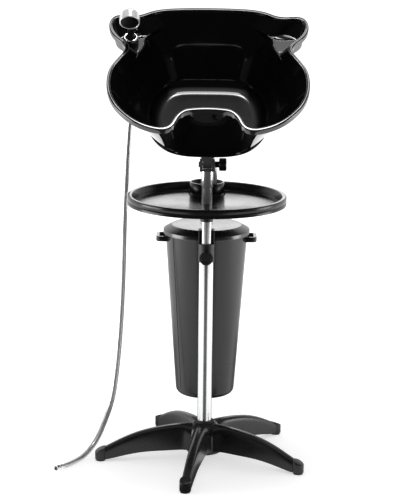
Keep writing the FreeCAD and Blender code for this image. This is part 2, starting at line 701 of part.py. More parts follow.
def bowl(inset, top):
    # Straight drafted walls with a rounded turn into the flat floor
    def wall(w):
        share = (w - wall_low) / (RIM_W - wall_low)
        return outline(inset_corners(between(floor_line, bowl_line, share), inset), w)

    floor = FLOOR_W + inset
    sections = []
    for inside, height in FLOOR_TURN:
        turn_line = inset_corners(floor_line, inset + FLOOR_ROUND * inside)
        sections.append(outline(turn_line, floor + FLOOR_ROUND * height))
    sections.append(wall(floor + FLOOR_ROUND * FLOOR_TURN_TOP))
    sections.append(wall(top))
    return Part.makeLoft(sections, True, True)


shelf_w = RIM_W - SHELF_DEPTH
shelf_low = shelf_w - BASIN_WALL


def pocket(side, grow, low, top):
    share = (top - shelf_w) / SHELF_DEPTH
    centre = Vector(side * (SHELF_U + (POCKET_MOUTH_U - SHELF_U) * share),
                    SHELF_V + (POCKET_MOUTH_V - SHELF_V) * share, top)
    radius = SHELF_R + (POCKET_MOUTH_R - SHELF_R) * share
    bottom = Part.makeCircle(SHELF_R + grow, Vector(side * SHELF_U, SHELF_V, low), Z_AXIS)
    mouth = Part.makeCircle(radius + grow, centre, Z_AXIS)
    return Part.makeLoft([Part.Wire([bottom]), Part.Wire([mouth])], True, True)


def basin_lip(low):
    bevel = LIP_ROUND * LIP_BEVEL
    return Part.makeLoft([
        outline(rim_line, low - LIP_OVERLAP), outline(rim_line, RIM_W - LIP_ROUND),
        outline(inset_corners(rim_line, bevel), RIM_W - bevel),
        outline(inset_corners(rim_line, LIP_ROUND), RIM_W),
    ], True, True)


def basin_shell():
    above = RIM_W + 2 * LIP_ROUND
    lip_low = RIM_W - LIP_THICK
    skirt_low = RIM_W - SKIRT_HEIGHT
    outer = bowl(0, lip_low)
    inner = bowl(BASIN_WALL, above)
    for side in (-1, 1):
        u = side * SHELF_U
        outer = outer.fuse(pocket(side, BASIN_WALL, shelf_low, lip_low))
        outer = outer.cut(rod(2 * (SHELF_R - BASIN_WALL), FLOOR_W, shelf_low, u, SHELF_V))
        inner = inner.cut(rod(2 * SHELF_R, FLOOR_W, shelf_w, u, SHELF_V))
        inner = inner.fuse(pocket(side, 0, shelf_w, above))
    skirt_room = prism(inset_corners(rim_line, SKIRT_WALL), skirt_low - OVER, lip_low + OVER)
    skirt = prism(rim_line, skirt_low, lip_low).cut(skirt_room)
    shell = outer.fuse(basin_lip(lip_low)).fuse(skirt).cut(inner)
    pad = block(LUG_PLATE_X, -LUG_PLATE_Y / 2, LUG_PLATE_Y / 2, lug_top, FLOOR_W + BASIN_WALL / 2)
    shell = shell.fuse(pad)
    for u, v in screw_places:
        shell = shell.cut(rod(LUG_SCREW_D, lug_top - OVER, screw_top, u, v))
    drain_hole_d = DRAIN_BODY_D + 2 * SLIDE_FIT
    shell = shell.cut(rod(drain_hole_d, lug_top, FLOOR_W + BASIN_WALL + OVER, 0, DRAIN_V))
    shank_hole_d = SHANK_D + 2 * SLIDE_FIT
    return shell.cut(rod(shank_hole_d, shelf_low - OVER, shelf_w + OVER, -SHELF_U, SHELF_V))


save("basin_shell", in_basin(basin_shell()))

# Drain: flange on the floor, gasket and ring nut under it, tail for the hose, lift-out strainer

floor_in = FLOOR_W + BASIN_WALL
flange_top = floor_in + DRAIN_FLANGE_THICK
thread_low = FLOOR_W - DRAIN_THREAD_LENGTH
body_r = DRAIN_BODY_D / 2
bore_r = DRAIN_BORE_D / 2
seat_r = STRAINER_D / 2 + LOOSE_FIT
flange_r = DRAIN_FLANGE_D / 2
save("drain_flange", in_basin(turned([
    (bore_r, thread_low), (body_r, thread_low), (body_r, floor_in), (flange_r, floor_in),
    (flange_r - SOFT_EDGE, flange_top), (seat_r, flange_top), (seat_r, floor_in + EDGE / 2),
    (bore_r, floor_in + EDGE / 2),
], 0, DRAIN_V)))
gasket_low = FLOOR_W - DRAIN_GASKET_THICK
save("drain_gasket", in_basin(ring(DRAIN_GASKET_D, DRAIN_BODY_D, gasket_low, FLOOR_W, 0, DRAIN_V)))
nut_low = gasket_low - DRAIN_NUT_THICK
drain_nut = hexagon(DRAIN_NUT_FLATS, nut_low, gasket_low, 0, DRAIN_V)
save("drain_nut", in_basin(drain_nut.cut(rod(DRAIN_BODY_D, nut_low, gasket_low, 0, DRAIN_V))))
tail_top = thread_low - TAIL_CONE
tail_low = tail_top - TAIL_LENGTH
cap_r = body_r + TAIL_CAP_WALL
cap_top = thread_low + TAIL_CAP_DEPTH
save("drain_tail", in_basin(turned([
    (TAIL_BORE_D / 2, tail_low), (TAIL_D / 2, tail_low), (TAIL_D / 2, tail_top), (cap_r, thread_low),
    (cap_r, cap_top), (body_r, cap_top), (body_r, thread_low), (bore_r, thread_low),
    (TAIL_BORE_D / 2, tail_top),
], 0, DRAIN_V)))


def strainer():
    low = floor_in + EDGE / 2
    top = low + STRAINER_KNOB_HEIGHT
    stem_r = STRAINER_KNOB_STEM_D / 2
    knob_r = STRAINER_KNOB_D / 2
    skirt_d = DRAIN_BORE_D - 2 * LOOSE_FIT
    plate = rod(STRAINER_D, low, low + STRAINER_THICK, 0, DRAIN_V)
    skirt = ring(skirt_d, skirt_d - 2 * STRAINER_SKIRT_WALL, low - STRAINER_SKIRT, low, 0, DRAIN_V)
    knob_under = top - 2 * SOFT_EDGE
    grip = turned([(0, low), (stem_r, low), (stem_r, knob_under - SOFT_EDGE), (knob_r, knob_under),
                   (knob_r, top - EDGE), (knob_r - EDGE, top), (0, top)], 0, DRAIN_V)
    body = plate.fuse(skirt).fuse(grip)
    for k in range(STRAINER_HOLES):
        angle = math.radians(k * 360 / STRAINER_HOLES)
        u = STRAINER_HOLE_R * math.cos(angle)
        v = DRAIN_V + STRAINER_HOLE_R * math.sin(angle)
        body = body.cut(rod(STRAINER_HOLE_D, low - OVER, low + STRAINER_THICK + OVER, u, v))
    return body.removeSplitter()


save("drain_strainer", in_basin(strainer()))

# Sprayer holder in the left pocket

shank_low = shelf_w - SHANK_DROP
gasket_top = shelf_w + HOLDER_GASKET_THICK
seat_w = gasket_top + SHANK_FLANGE_THICK
ring_top = seat_w + HOLDER_RING_HEIGHT
holder_gasket = ring(HOLDER_GASKET_D, SHANK_D, shelf_w, gasket_top, -SHELF_U, SHELF_V)
save("holder_gasket", in_basin(holder_gasket))
shank = ring(SHANK_D, SHANK_BORE_D, shank_low, gasket_top, -SHELF_U, SHELF_V)
shank = shank.fuse(ring(SHANK_FLANGE_D, SHANK_BORE_D, gasket_top, seat_w, -SHELF_U, SHELF_V))
save("holder_shank", in_basin(shank.removeSplitter()))
ring_r = HOLDER_RING_D / 2
ring_bore_r = HOLDER_RING_BORE_D / 2
save("holder_ring", in_basin(turned([
    (ring_bore_r, seat_w), (ring_r - EDGE, seat_w), (ring_r, seat_w + SOFT_EDGE),
    (ring_r, ring_top - HOLDER_RING_TAPER), (ring_r - HOLDER_RING_TAPER, ring_top),
    (ring_bore_r + EDGE, ring_top), (ring_bore_r, ring_top - SOFT_EDGE),
], -SHELF_U, SHELF_V)))
holder_nut_low = shelf_low - HOLDER_NUT_THICK
holder_nut = hexagon(HOLDER_NUT_FLATS, holder_nut_low, shelf_low, -SHELF_U, SHELF_V)
holder_nut = holder_nut.cut(rod(SHANK_D, holder_nut_low, shelf_low, -SHELF_U, SHELF_V))
save("holder_nut", in_basin(holder_nut))

# Sprayer: handle in the holder, bell head, spray face and the hose ferrule inside the shank

foot_r = HANDLE_FOOT_D / 2
neck_r = HANDLE_NECK_D / 2
head_r = SPRAY_HEAD_D / 2
face_r = SPRAY_FACE_D / 2


def along_v(profile):
    # A turned form whose axis points from the spray face to the back of the head
    form = turned(profile)
    form.rotate(ORIGIN, X_AXIS, SPRAY_HEAD_DIP - 90)
    form.translate(Vector(-SHELF_U, SPRAY_FACE_V, SPRAY_HEAD_W))
    return form


bell = [(head_r - closed, depth) for depth, closed in SPRAY_BELL]
room = [(face_r - closed, depth) for depth, closed in SPRAY_ROOM]
room_start = SPRAY_FACE_THICK - OVER
head_outer = along_v([(0, 0), (head_r - EDGE, 0), (head_r, SOFT_EDGE)] + bell
                     + [(SPRAY_BACK_D / 2, SPRAY_HEAD_DEPTH), (0, SPRAY_HEAD_DEPTH)])
face_seat = along_v([(0, -OVER), (face_r, -OVER), (face_r, SPRAY_FACE_THICK), (0, SPRAY_FACE_THICK)])
water_room = along_v([(0, room_start), (face_r - SPRAY_WALL, room_start)] + room + [(0, room[-1][1])])
neck_top = SPRAY_HEAD_W - HANDLE_TOP_DROP
neck_start = ring_top + HANDLE_NECK_START
neck = turned([
    (0, seat_w), (foot_r, seat_w), (foot_r, seat_w + HANDLE_FOOT_HEIGHT), (neck_r, neck_start),
    (neck_r - HANDLE_NECK_TAPER, neck_top), (0, neck_top),
], -SHELF_U, SHELF_V)
sprayer_head = head_outer.cut(neck).cut(face_seat).cut(water_room)
save("sprayer_head", in_basin(sprayer_head.removeSplitter()))
jet_r = face_r - RUNNING_FIT
save("spray_face", in_basin(along_v([
    (0, 0), (jet_r, 0), (jet_r, SPRAY_FACE_THICK), (0, SPRAY_FACE_THICK),
])))
handle_bore = rod(HANDLE_BORE_D, seat_w - OVER, neck_top - HANDLE_BORE_END, -SHELF_U, SHELF_V)
save("sprayer_handle", in_basin(neck.cut(handle_bore).removeSplitter()))
ferrule_top = seat_w - LOOSE_FIT
ferrule_low = ferrule_top - SPRAY_FERRULE_LENGTH
ferrule = ring(SPRAY_FERRULE_D, HANDLE_BORE_D, ferrule_low, ferrule_top, -SHELF_U, SHELF_V)
ferrule_neck_d = SPRAY_FERRULE_D - 2 * EDGE
ferrule = ferrule.fuse(ring(ferrule_neck_d, HANDLE_BORE_D, ferrule_top, seat_w, -SHELF_U, SHELF_V))
save("sprayer_ferrule", in_basin(ferrule.removeSplitter()))

# Hoses: straight runs joined by tangent arcs as large as the runs allow

def route(points, label):
    points = [Vector(*p) for p in points]
    edges = []
    start = points[0]
    radii = []
    for before, corner, after in zip(points, points[1:], points[2:]):
        a = (corner - before).normalize()
        b = (after - corner).normalize()
        turn = a.getAngle(b)
        cut = BEND_SHARE * min((corner - before).Length, (after - corner).Length)
        radius = cut / math.tan(turn / 2)
        radii.append(round(radius))
        arc_in = corner - a * cut
        arc_out = corner + b * cut
        inward = (b - a).normalize()
        sagitta = radius / math.cos(turn / 2) - radius
        edges.append(Part.LineSegment(start, arc_in).toShape())
        edges.append(Part.Arc(arc_in, corner + inward * sagitta, arc_out).toShape())
        start = arc_out
    edges.append(Part.LineSegment(start, points[-1]).toShape())
    print(label, "bend radii", radii)
    return Part.Wire(edges)


def swept(path, points, diameter):
    direction = (Vector(*points[1]) - Vector(*points[0])).normalize()
    section = Part.Wire([Part.makeCircle(diameter / 2, Vector(*points[0]), direction)])
    return path.makePipeShell([section], True, True)


def hose(points, diameter, bore, label):
    path = route(points, label)
    tube = swept(path, points, diameter).cut(swept(path, points, bore))
    exact = math.pi * (diameter ** 2 - bore ** 2) / 4 * path.Length
    print(label, "length", round(path.Length), "volume share", round(tube.Volume / exact, 4))
    return tube


ferrule_end = basin_point(-SHELF_U, SHELF_V, ferrule_low)
first_bend = basin_point(-SHELF_U, SHELF_V, ferrule_low - SPRAY_HOSE_STRAIGHT)
upper_route = [tuple(ferrule_end), tuple(first_bend)] + SPRAY_HOSE_UPPER
save("spray_hose_upper", hose(upper_route, SPRAY_HOSE_D, SPRAY_HOSE_BORE_D, "spray hose, upper"))
save("spray_hose_lower", hose(SPRAY_HOSE_LOWER, SPRAY_HOSE_D, SPRAY_HOSE_BORE_D, "spray hose, lower"))

hose_end = Vector(*SPRAY_HOSE_LOWER[-1])
end_way = (hose_end - Vector(*SPRAY_HOSE_LOWER[-2])).normalize()


def along_hose_end(radius, low, high):
    bore = END_NUT_BORE_D / 2
    form = turned([(bore, low), (radius - EDGE, low), (radius, low + EDGE), (radius, high - EDGE),
                   (radius - EDGE, high), (bore, high)])
    form.Placement = FreeCAD.Placement(hose_end, FreeCAD.Rotation(Z_AXIS, end_way))
    return form


nut_start = HOSE_FERRULE_LENGTH
save("hose_ferrule", along_hose_end(HOSE_FERRULE_D / 2, 0, nut_start))
save("hose_end_nut", along_hose_end(END_NUT_D / 2, nut_start, nut_start + END_NUT_LENGTH))

hose_start = basin_point(0, DRAIN_V, tail_top - LOOSE_FIT)
drain_bore = TAIL_D + 2 * LOOSE_FIT
save("drain_hose", hose([tuple(hose_start)] + DRAIN_HOSE_ROUTE, DRAIN_HOSE_D, drain_bore, "drain hose"))

# Bucket hanging behind the column

bucket_top = OUTER_TUBE_TOP + BUCKET_RISE
bucket_bottom = bucket_top - BUCKET_HEIGHT
bucket_slope = (BUCKET_TOP_R - BUCKET_BOTTOM_R) / BUCKET_HEIGHT
handle_bottom = bucket_top - HANDLE_DROP


def bucket_body():
    corner_z = bucket_bottom + BUCKET_CORNER
    corner_r = BUCKET_BOTTOM_R + bucket_slope * BUCKET_CORNER
    flat_r = BUCKET_BOTTOM_R - BUCKET_CORNER
    roll_low = bucket_top - BUCKET_ROLL_HEIGHT
    roll_r = BUCKET_TOP_R - bucket_slope * BUCKET_ROLL_HEIGHT
    floor_z = bucket_bottom + BUCKET_WALL
    turn = math.radians(BUCKET_CORNER_TURN)
    turn_r = flat_r + BUCKET_CORNER * math.sin(turn)
    turn_z = bucket_bottom + BUCKET_CORNER * (1 - math.cos(turn))
    return turned([
        (0, bucket_bottom), (flat_r, bucket_bottom), (turn_r, turn_z), (corner_r, corner_z),
        (roll_r, roll_low), (BUCKET_ROLL_R, roll_low), (BUCKET_ROLL_R, bucket_top),
        (BUCKET_TOP_R - BUCKET_WALL, bucket_top), (corner_r - BUCKET_WALL, corner_z),
        (turn_r - BUCKET_WALL, turn_z + BUCKET_WALL), (flat_r - BUCKET_WALL, floor_z), (0, floor_z),
    ], 0, BUCKET_Y)


def bucket_handle(side):
    # A flat loop with rounded outer corners, open in the middle for the fingers
    root = BUCKET_TOP_R - HANDLE_ROOT
    length = HANDLE_REACH - root
    low_y = BUCKET_Y - HANDLE_WIDTH / 2
    top = handle_bottom + HANDLE_THICK
    bar = Part.makeBox(length, HANDLE_WIDTH, HANDLE_THICK, Vector(root, low_y, handle_bottom))
    corners = [e for e in upright_edges(bar) if e.BoundBox.XMin > root + length / 2]
    bar = bar.makeFillet(HANDLE_CORNER, corners)
    gap_size = HANDLE_WIDTH - 2 * HANDLE_BAR
    gap_corner = Vector(root, low_y + HANDLE_BAR, handle_bottom - OVER)
    gap = Part.makeBox(length - HANDLE_BAR, gap_size, HANDLE_THICK + 2 * OVER, gap_corner)
    inside_d = 2 * (BUCKET_TOP_R - BUCKET_WALL)
    loop = bar.cut(gap).cut(rod(inside_d, handle_bottom - OVER, top + OVER, 0, BUCKET_Y))
    return loop if side > 0 else loop.mirror(ORIGIN, X_AXIS)


save("bucket_body", bucket_body().fuse(bucket_handle(1)).fuse(bucket_handle(-1)).removeSplitter())


def bucket_lid():
    low = bucket_top - BUCKET_ROLL_HEIGHT - LID_GRIP
    shoulder = low + LID_SKIRT
    top = shoulder + LID_BEVEL
    inner_r = LID_R - LID_WALL
    seat = bucket_top + RUNNING_FIT
    flat_r = LID_TOP_R - LID_TOP_EDGE
    hole_r = DRAIN_HOSE_D / 2 + LID_HOLE_CLEARANCE
    return turned([
        (inner_r, low), (LID_R, low), (LID_R, shoulder - EDGE), (LID_R - EDGE, shoulder),
        (LID_TOP_R, top - EDGE), (flat_r, top), (hole_r, top), (hole_r, top - LID_WALL),
        (flat_r, top - LID_WALL), (BUCKET_TOP_R - BUCKET_WALL - LID_SEAT_LEDGE, seat), (inner_r, seat),
    ], 0, BUCKET_Y)


save("bucket_lid", bucket_lid())

hanger_top = collar_top + HANGER_RISE
hanger_ledge = collar_top - HANGER_LEDGE_DROP
hanger_low = collar_top - HANGER_DROP
hook_top = collar_top - HOOK_DROP
slot_back = slot_front + HOOK_THICK + 2 * LOOSE_FIT
hanger_rear = slot_back + HANGER_BACK_WALL
slot_floor = hanger_low + HANGER_SLOT_FLOOR


def bucket_hanger():
    # A saddle on top of the collar with a slotted bracket down its back
    tube_gap = INNER_TUBE_D + 4 * LOOSE_FIT
    top = hanger_top + OVER
    saddle = block(HANGER_WIDTH, HANGER_FRONT, HANGER_BACK, collar_top, hanger_top)
    saddle = saddle.makeFillet(HANGER_CORNER, upright_edges(saddle))
    saddle = saddle.cut(rod(tube_gap, collar_top - OVER, top))
    saddle = saddle.cut(block(tube_gap, HANGER_FRONT - OVER, 0, collar_top - OVER, top))
    bracket = block(HANGER_WIDTH, 0, HANGER_BACK, hanger_low, collar_top)
    bracket = bracket.fuse(block(HANGER_WIDTH, HANGER_BACK, hanger_rear, hanger_low, hanger_ledge))
    bracket = bracket.cut(rod(COLLAR_D + 2 * LOOSE_FIT, hanger_low - OVER, collar_top))
    body = saddle.fuse(bracket)
    body = body.cut(block(HANGER_SLOT_WIDTH, slot_front, slot_back, slot_floor, top))
    body = body.cut(block(HANGER_NECK_WIDTH, slot_front, hanger_rear + OVER, slot_floor, top))
    return body.removeSplitter()


save("bucket_hanger", bucket_hanger().cut(hanger_screw))
save("hanger_screw", hanger_screw)


def bucket_hook():
    # The tongue that drops into the hanger's slot, on a foot moulded to the bucket wall
    tongue_width = HANGER_SLOT_WIDTH - 2 * LOOSE_FIT
    tongue_back = slot_back - LOOSE_FIT
    tongue = block(tongue_width, slot_front + LOOSE_FIT, tongue_back, slot_floor, hook_top)
    neck_width = HANGER_NECK_WIDTH - 2 * LOOSE_FIT
    centre = Vector(0, BUCKET_Y, bucket_bottom)
    wall = Part.makeCone(BUCKET_BOTTOM_R + HOOK_SEAT, BUCKET_TOP_R + HOOK_SEAT,
                         BUCKET_HEIGHT, centre, Z_AXIS)
    foot = Part.makeCone(BUCKET_BOTTOM_R + HOOK_FOOT_THICK, BUCKET_TOP_R + HOOK_FOOT_THICK,
                         BUCKET_HEIGHT, centre, Z_AXIS)
    stem = block(neck_width, tongue_back - OVER, BUCKET_Y, slot_floor, hook_top)
    plate = block(HANGER_WIDTH, hanger_rear + 2 * LOOSE_FIT, BUCKET_Y, slot_floor - HOOK_FOOT_DROP, hook_top)
    return tongue.fuse(stem.cut(wall)).fuse(plate.common(foot).cut(wall)).removeSplitter()


save("bucket_hook", bucket_hook())
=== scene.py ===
import math

import bmesh
import bpy
from mathutils import Matrix, Vector


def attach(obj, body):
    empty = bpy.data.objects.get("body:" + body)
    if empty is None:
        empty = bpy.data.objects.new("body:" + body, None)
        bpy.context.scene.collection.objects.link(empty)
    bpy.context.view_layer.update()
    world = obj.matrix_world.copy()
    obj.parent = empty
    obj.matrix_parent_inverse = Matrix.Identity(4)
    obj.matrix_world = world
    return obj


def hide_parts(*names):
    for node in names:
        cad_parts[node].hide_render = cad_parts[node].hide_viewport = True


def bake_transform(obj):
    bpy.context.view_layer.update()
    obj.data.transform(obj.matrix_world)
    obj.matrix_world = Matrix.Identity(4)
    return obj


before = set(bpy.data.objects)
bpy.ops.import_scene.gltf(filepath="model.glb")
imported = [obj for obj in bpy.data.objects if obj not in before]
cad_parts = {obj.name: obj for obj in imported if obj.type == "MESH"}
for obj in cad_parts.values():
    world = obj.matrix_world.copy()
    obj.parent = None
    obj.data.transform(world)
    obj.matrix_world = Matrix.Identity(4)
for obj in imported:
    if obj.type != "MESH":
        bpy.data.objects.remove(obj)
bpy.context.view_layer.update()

# Portable shampoo basin: sizes in millimetres, made metres when a piece is finished
MM = 0.001
FULL_TURN = 2 * math.pi
TURN_STEPS = 96
SHARP_ANGLE = math.radians(38)
MERGE = 0.02
FLAT_ANGLE = math.radians(0.4)
CURVE_ORDER = 3

# Camera of the photograph
CAMERA_PLACE = (0.0, -4.0673, 1.4385)
CAMERA_DOWN = math.radians(12.662)
CAMERA_YAW = math.radians(0.215)
CAMERA_ROLL = math.radians(0.619)
CAMERA_LENS = 124.06
CAMERA_FAR = 50.0

# Basin: u to the right, v to the back, w up its own axis, from the tilt pivot
PIVOT_Z = 735.0
BASIN_TILT = math.radians(35)
BASIN_PLACE = Matrix.Translation((0, 0, PIVOT_Z)) @ Matrix.Rotation(BASIN_TILT, 4, "X")


def camera():
    data = bpy.data.cameras.new("photo camera")
    data.lens = CAMERA_LENS
    data.clip_end = CAMERA_FAR
    seen_by = bpy.data.objects.new("photo camera", data)
    turn = Matrix.Rotation(CAMERA_YAW, 4, "Z") @ Matrix.Rotation(math.pi / 2 - CAMERA_DOWN, 4, "X")
    turn = turn @ Matrix.Rotation(CAMERA_ROLL, 4, "Z")
    seen_by.matrix_world = Matrix.Translation(CAMERA_PLACE) @ turn
    bpy.context.scene.collection.objects.link(seen_by)
    bpy.context.scene.camera = seen_by


camera()

# Node helpers


def add_node(tree, kind, **settings):
    made = tree.nodes.new(kind)
    for key, value in settings.items():
        setattr(made, key, value)
    return made


def new_group(name, inputs, outputs):
    tree = bpy.data.node_groups.new(name, "ShaderNodeTree")
    for label, default in inputs:
        socket = tree.interface.new_socket(label, in_out="INPUT", socket_type="NodeSocketFloat")
        socket.default_value = default
    for label in outputs:
        tree.interface.new_socket(label, in_out="OUTPUT", socket_type="NodeSocketFloat")
    return tree, add_node(tree, "NodeGroupInput"), add_node(tree, "NodeGroupOutput")


def noise(tree, place, scale, detail, rough=0.55):
    made = add_node(tree, "ShaderNodeTexNoise")
    made.inputs["Detail"].default_value = detail
    made.inputs["Roughness"].default_value = rough
    tree.links.new(place, made.inputs["Vector"])
    if isinstance(scale, (int, float)):
        made.inputs["Scale"].default_value = scale
    else:
        tree.links.new(scale, made.inputs["Scale"])
    return made.outputs["Fac"]


def remap(tree, value, low, high, to_low=0.0, to_high=1.0):
    made = add_node(tree, "ShaderNodeMapRange", clamp=True)
    ends = {"From Min": low, "From Max": high, "To Min": to_low, "To Max": to_high}
    for socket, amount in ends.items():
        made.inputs[socket].default_value = amount
    tree.links.new(value, made.inputs["Value"])
    return made.outputs["Result"]


def maths(tree, operation, first, second):
    made = add_node(tree, "ShaderNodeMath", operation=operation)
    for socket, value in zip(made.inputs, (first, second)):
        if isinstance(value, (int, float)):
            socket.default_value = value
        else:
            tree.links.new(value, socket)
    return made.outputs["Value"]


# Surface effects that the finishes share: scales in repeats per metre, and the range of a noise that counts

GRAIN_SCALE = 900.0
GRAIN_DETAIL = 3.0
CLOUD_SCALE = 18.0
CLOUD_DETAIL = 4.0
CLOUD_RANGE = (0.3, 0.7)
SMEAR_SCALE = 9.0
SMEAR_DETAIL = 5.0
SMEAR_RANGE = (0.5, 0.75)
SMEAR_MOST = 0.7
HAIRLINE_SCALE = 260.0
HAIRLINE_DETAIL = 2.0
HAIRLINE_RANGE = (0.68, 0.8)
HAIRLINE_MOST = 0.6
HAIRLINE_TURN = (0.4, 0.7, 0.2)
HAIRLINE_STRETCH = (1.0, 0.06, 1.0)
DUST_AMOUNT = 0.3
DUST_SCALE = 34.0
DUST_DETAIL = 6.0
DUST_ROUGHNESS = 0.65
DUST_RANGE = (0.35, 0.75)
DUST_LEAST = 0.15
DUST_COLOUR = (0.33, 0.32, 0.30)
DUST_DULLS = 0.35
LOOKING_UP = (0.55, 1.0)
# Heights along the basin's axis, in metres over the tilt pivot, up to which cleaning has dulled the bowl
SCOURED_FLOOR = 0.0788
SCOURED_FLANK = 0.0915
FLOOR_FADE = 0.0006
FLANK_FADE = 0.004
FLANK_STARTS = (0.08, 0.1)
# On a black colour this share of metal takes the gloss away
SCOURED_METAL = 0.9
COAT_ROUGH = 0.04
MOST_WEAR = 2.0
SKIN_DEPTH = 0.0003


def moulded_grain():
    # The fine skin that a mould leaves on plastic, and slow changes of its sheen
    inputs = [("Grain", GRAIN_SCALE), ("Cloud", CLOUD_SCALE)]
    tree, given, out = new_group("moulded grain", inputs, ["Height", "Sheen"])
    place = add_node(tree, "ShaderNodeTexCoord").outputs["Object"]
    skin = noise(tree, place, given.outputs["Grain"], GRAIN_DETAIL)
    cloud = noise(tree, place, given.outputs["Cloud"], CLOUD_DETAIL)
    tree.links.new(skin, out.inputs["Height"])
    tree.links.new(remap(tree, cloud, *CLOUD_RANGE), out.inputs["Sheen"])
    return tree


def handling_marks():
    # Wiped smears and hairline scratches on polished pieces
    inputs = [("Smear", SMEAR_SCALE), ("Hairline", HAIRLINE_SCALE)]
    tree, given, out = new_group("handling marks", inputs, ["Marks"])
    place = add_node(tree, "ShaderNodeTexCoord").outputs["Object"]
    turn = add_node(tree, "ShaderNodeMapping")
    turn.inputs["Rotation"].default_value = HAIRLINE_TURN
    turn.inputs["Scale"].default_value = HAIRLINE_STRETCH
    tree.links.new(place, turn.inputs["Vector"])
    wiped = noise(tree, place, given.outputs["Smear"], SMEAR_DETAIL)
    smear = remap(tree, wiped, *SMEAR_RANGE, 0.0, SMEAR_MOST)
    hairline = noise(tree, turn.outputs["Vector"], given.outputs["Hairline"], HAIRLINE_DETAIL)
    scratch = remap(tree, hairline, *HAIRLINE_RANGE, 0.0, HAIRLINE_MOST)
    tree.links.new(maths(tree, "ADD", smear, scratch), out.inputs["Marks"])
    return tree


def settled_dust():
    # A thin film on faces that look up
    tree, given, out = new_group("settled dust", [("Amount", DUST_AMOUNT)], ["Dust"])
    facing = add_node(tree, "ShaderNodeSeparateXYZ")
    tree.links.new(add_node(tree, "ShaderNodeNewGeometry").outputs["Normal"], facing.inputs["Vector"])
    upward = remap(tree, facing.outputs["Z"], *LOOKING_UP)
    place = add_node(tree, "ShaderNodeTexCoord").outputs["Object"]
    speckle = noise(tree, place, DUST_SCALE, DUST_DETAIL, DUST_ROUGHNESS)
    film = maths(tree, "MULTIPLY", upward, remap(tree, speckle, *DUST_RANGE, DUST_LEAST, 1.0))
    tree.links.new(maths(tree, "MULTIPLY", film, given.outputs["Amount"]), out.inputs["Dust"])
    return tree


def scoured_floor():
    # The bottom of the bowl: one on the flat floor and a little way up its sides
    inputs = [("Edge", SCOURED_FLOOR), ("Side", SCOURED_FLANK)]
    tree, given, out = new_group("scoured floor", inputs, ["Scoured"])
    place = add_node(tree, "ShaderNodeTexCoord").outputs["Object"]
    depth = add_node(tree, "ShaderNodeVectorMath", operation="DOT_PRODUCT")
    depth.inputs[1].default_value = (0, -math.sin(BASIN_TILT), math.cos(BASIN_TILT))
    tree.links.new(place, depth.inputs[0])
    height = maths(tree, "SUBTRACT", depth.outputs["Value"], PIVOT_Z * MM * math.cos(BASIN_TILT))
    across = add_node(tree, "ShaderNodeSeparateXYZ")
    tree.links.new(place, across.inputs["Vector"])
    side = remap(tree, maths(tree, "ABSOLUTE", across.outputs["X"], 0.0), *FLANK_STARTS)
    over_floor = maths(tree, "SUBTRACT", height, given.outputs["Edge"])
    over_flank = maths(tree, "SUBTRACT", height, given.outputs["Side"])
    flat = remap(tree, over_floor, 0.0, FLOOR_FADE, 1.0, 0.0)
    flank = maths(tree, "MULTIPLY", remap(tree, over_flank, 0.0, FLANK_FADE, 1.0, 0.0), side)
    tree.links.new(maths(tree, "MAXIMUM", flat, flank), out.inputs["Scoured"])
    return tree


GRAIN = moulded_grain()
MARKS = handling_marks()
DUST = settled_dust()
SCOURED = scoured_floor()


def use_group(tree, group, **values):
    made = add_node(tree, "ShaderNodeGroup", node_tree=group)
    for label, value in values.items():
        made.inputs[label].default_value = value
    return made


def mixed(tree, share, dark, light):
    made = add_node(tree, "ShaderNodeMix", data_type="RGBA")
    tree.links.new(share, made.inputs["Factor"])
    for index, colour in ((6, dark), (7, light)):
        if isinstance(colour, tuple):
            made.inputs[index].default_value = (*colour, 1)
        else:
            tree.links.new(colour, made.inputs[index])
    return made.outputs[2]


def finish(name, dark, light, smooth, rough, grain, bump, metal=0.0, dust=0.0, coat=0.0, level=0.5,
           scoured=0.0):
    # One procedural finish: two tones, roughness between two ends, skin and dust
    made = bpy.data.materials.new(name)
    made.use_nodes = True
    tree = made.node_tree
    shader = tree.nodes["Principled BSDF"]
    shader.inputs["Metallic"].default_value = metal
    shader.inputs["Coat Weight"].default_value = coat
    shader.inputs["Coat Roughness"].default_value = COAT_ROUGH
    shader.inputs["Specular IOR Level"].default_value = level
    skin = use_group(tree, GRAIN, Grain=grain)
    marks = use_group(tree, MARKS).outputs["Marks"]
    colour = mixed(tree, skin.outputs["Sheen"], dark, light)
    wear = maths(tree, "ADD", skin.outputs["Sheen"], marks)
    worn = remap(tree, wear, 0.0, MOST_WEAR, smooth, rough)
    if dust:
        film = use_group(tree, DUST, Amount=dust).outputs["Dust"]
        colour = mixed(tree, film, colour, DUST_COLOUR)
        worn = maths(tree, "ADD", worn, maths(tree, "MULTIPLY", film, DUST_DULLS))
    if scoured:
        dulled = use_group(tree, SCOURED).outputs["Scoured"]
        worn = maths(tree, "ADD", worn, maths(tree, "MULTIPLY", dulled, scoured))
        tree.links.new(remap(tree, dulled, 0.0, 1.0, coat, 0.0), shader.inputs["Coat Weight"])
        tree.links.new(remap(tree, dulled, 0.0, 1.0, metal, SCOURED_METAL), shader.inputs["Metallic"])
    tree.links.new(colour, shader.inputs["Base Color"])
    tree.links.new(worn, shader.inputs["Roughness"])
    relief = add_node(tree, "ShaderNodeBump")
    relief.inputs["Strength"].default_value = bump
    relief.inputs["Distance"].default_value = SKIN_DEPTH
    tree.links.new(skin.outputs["Height"], relief.inputs["Height"])
    tree.links.new(relief.outputs["Normal"], shader.inputs["Normal"])
    return made


CHROME_DARK = (0.80, 0.81, 0.82)
CHROME_LIGHT = (0.87, 0.875, 0.88)

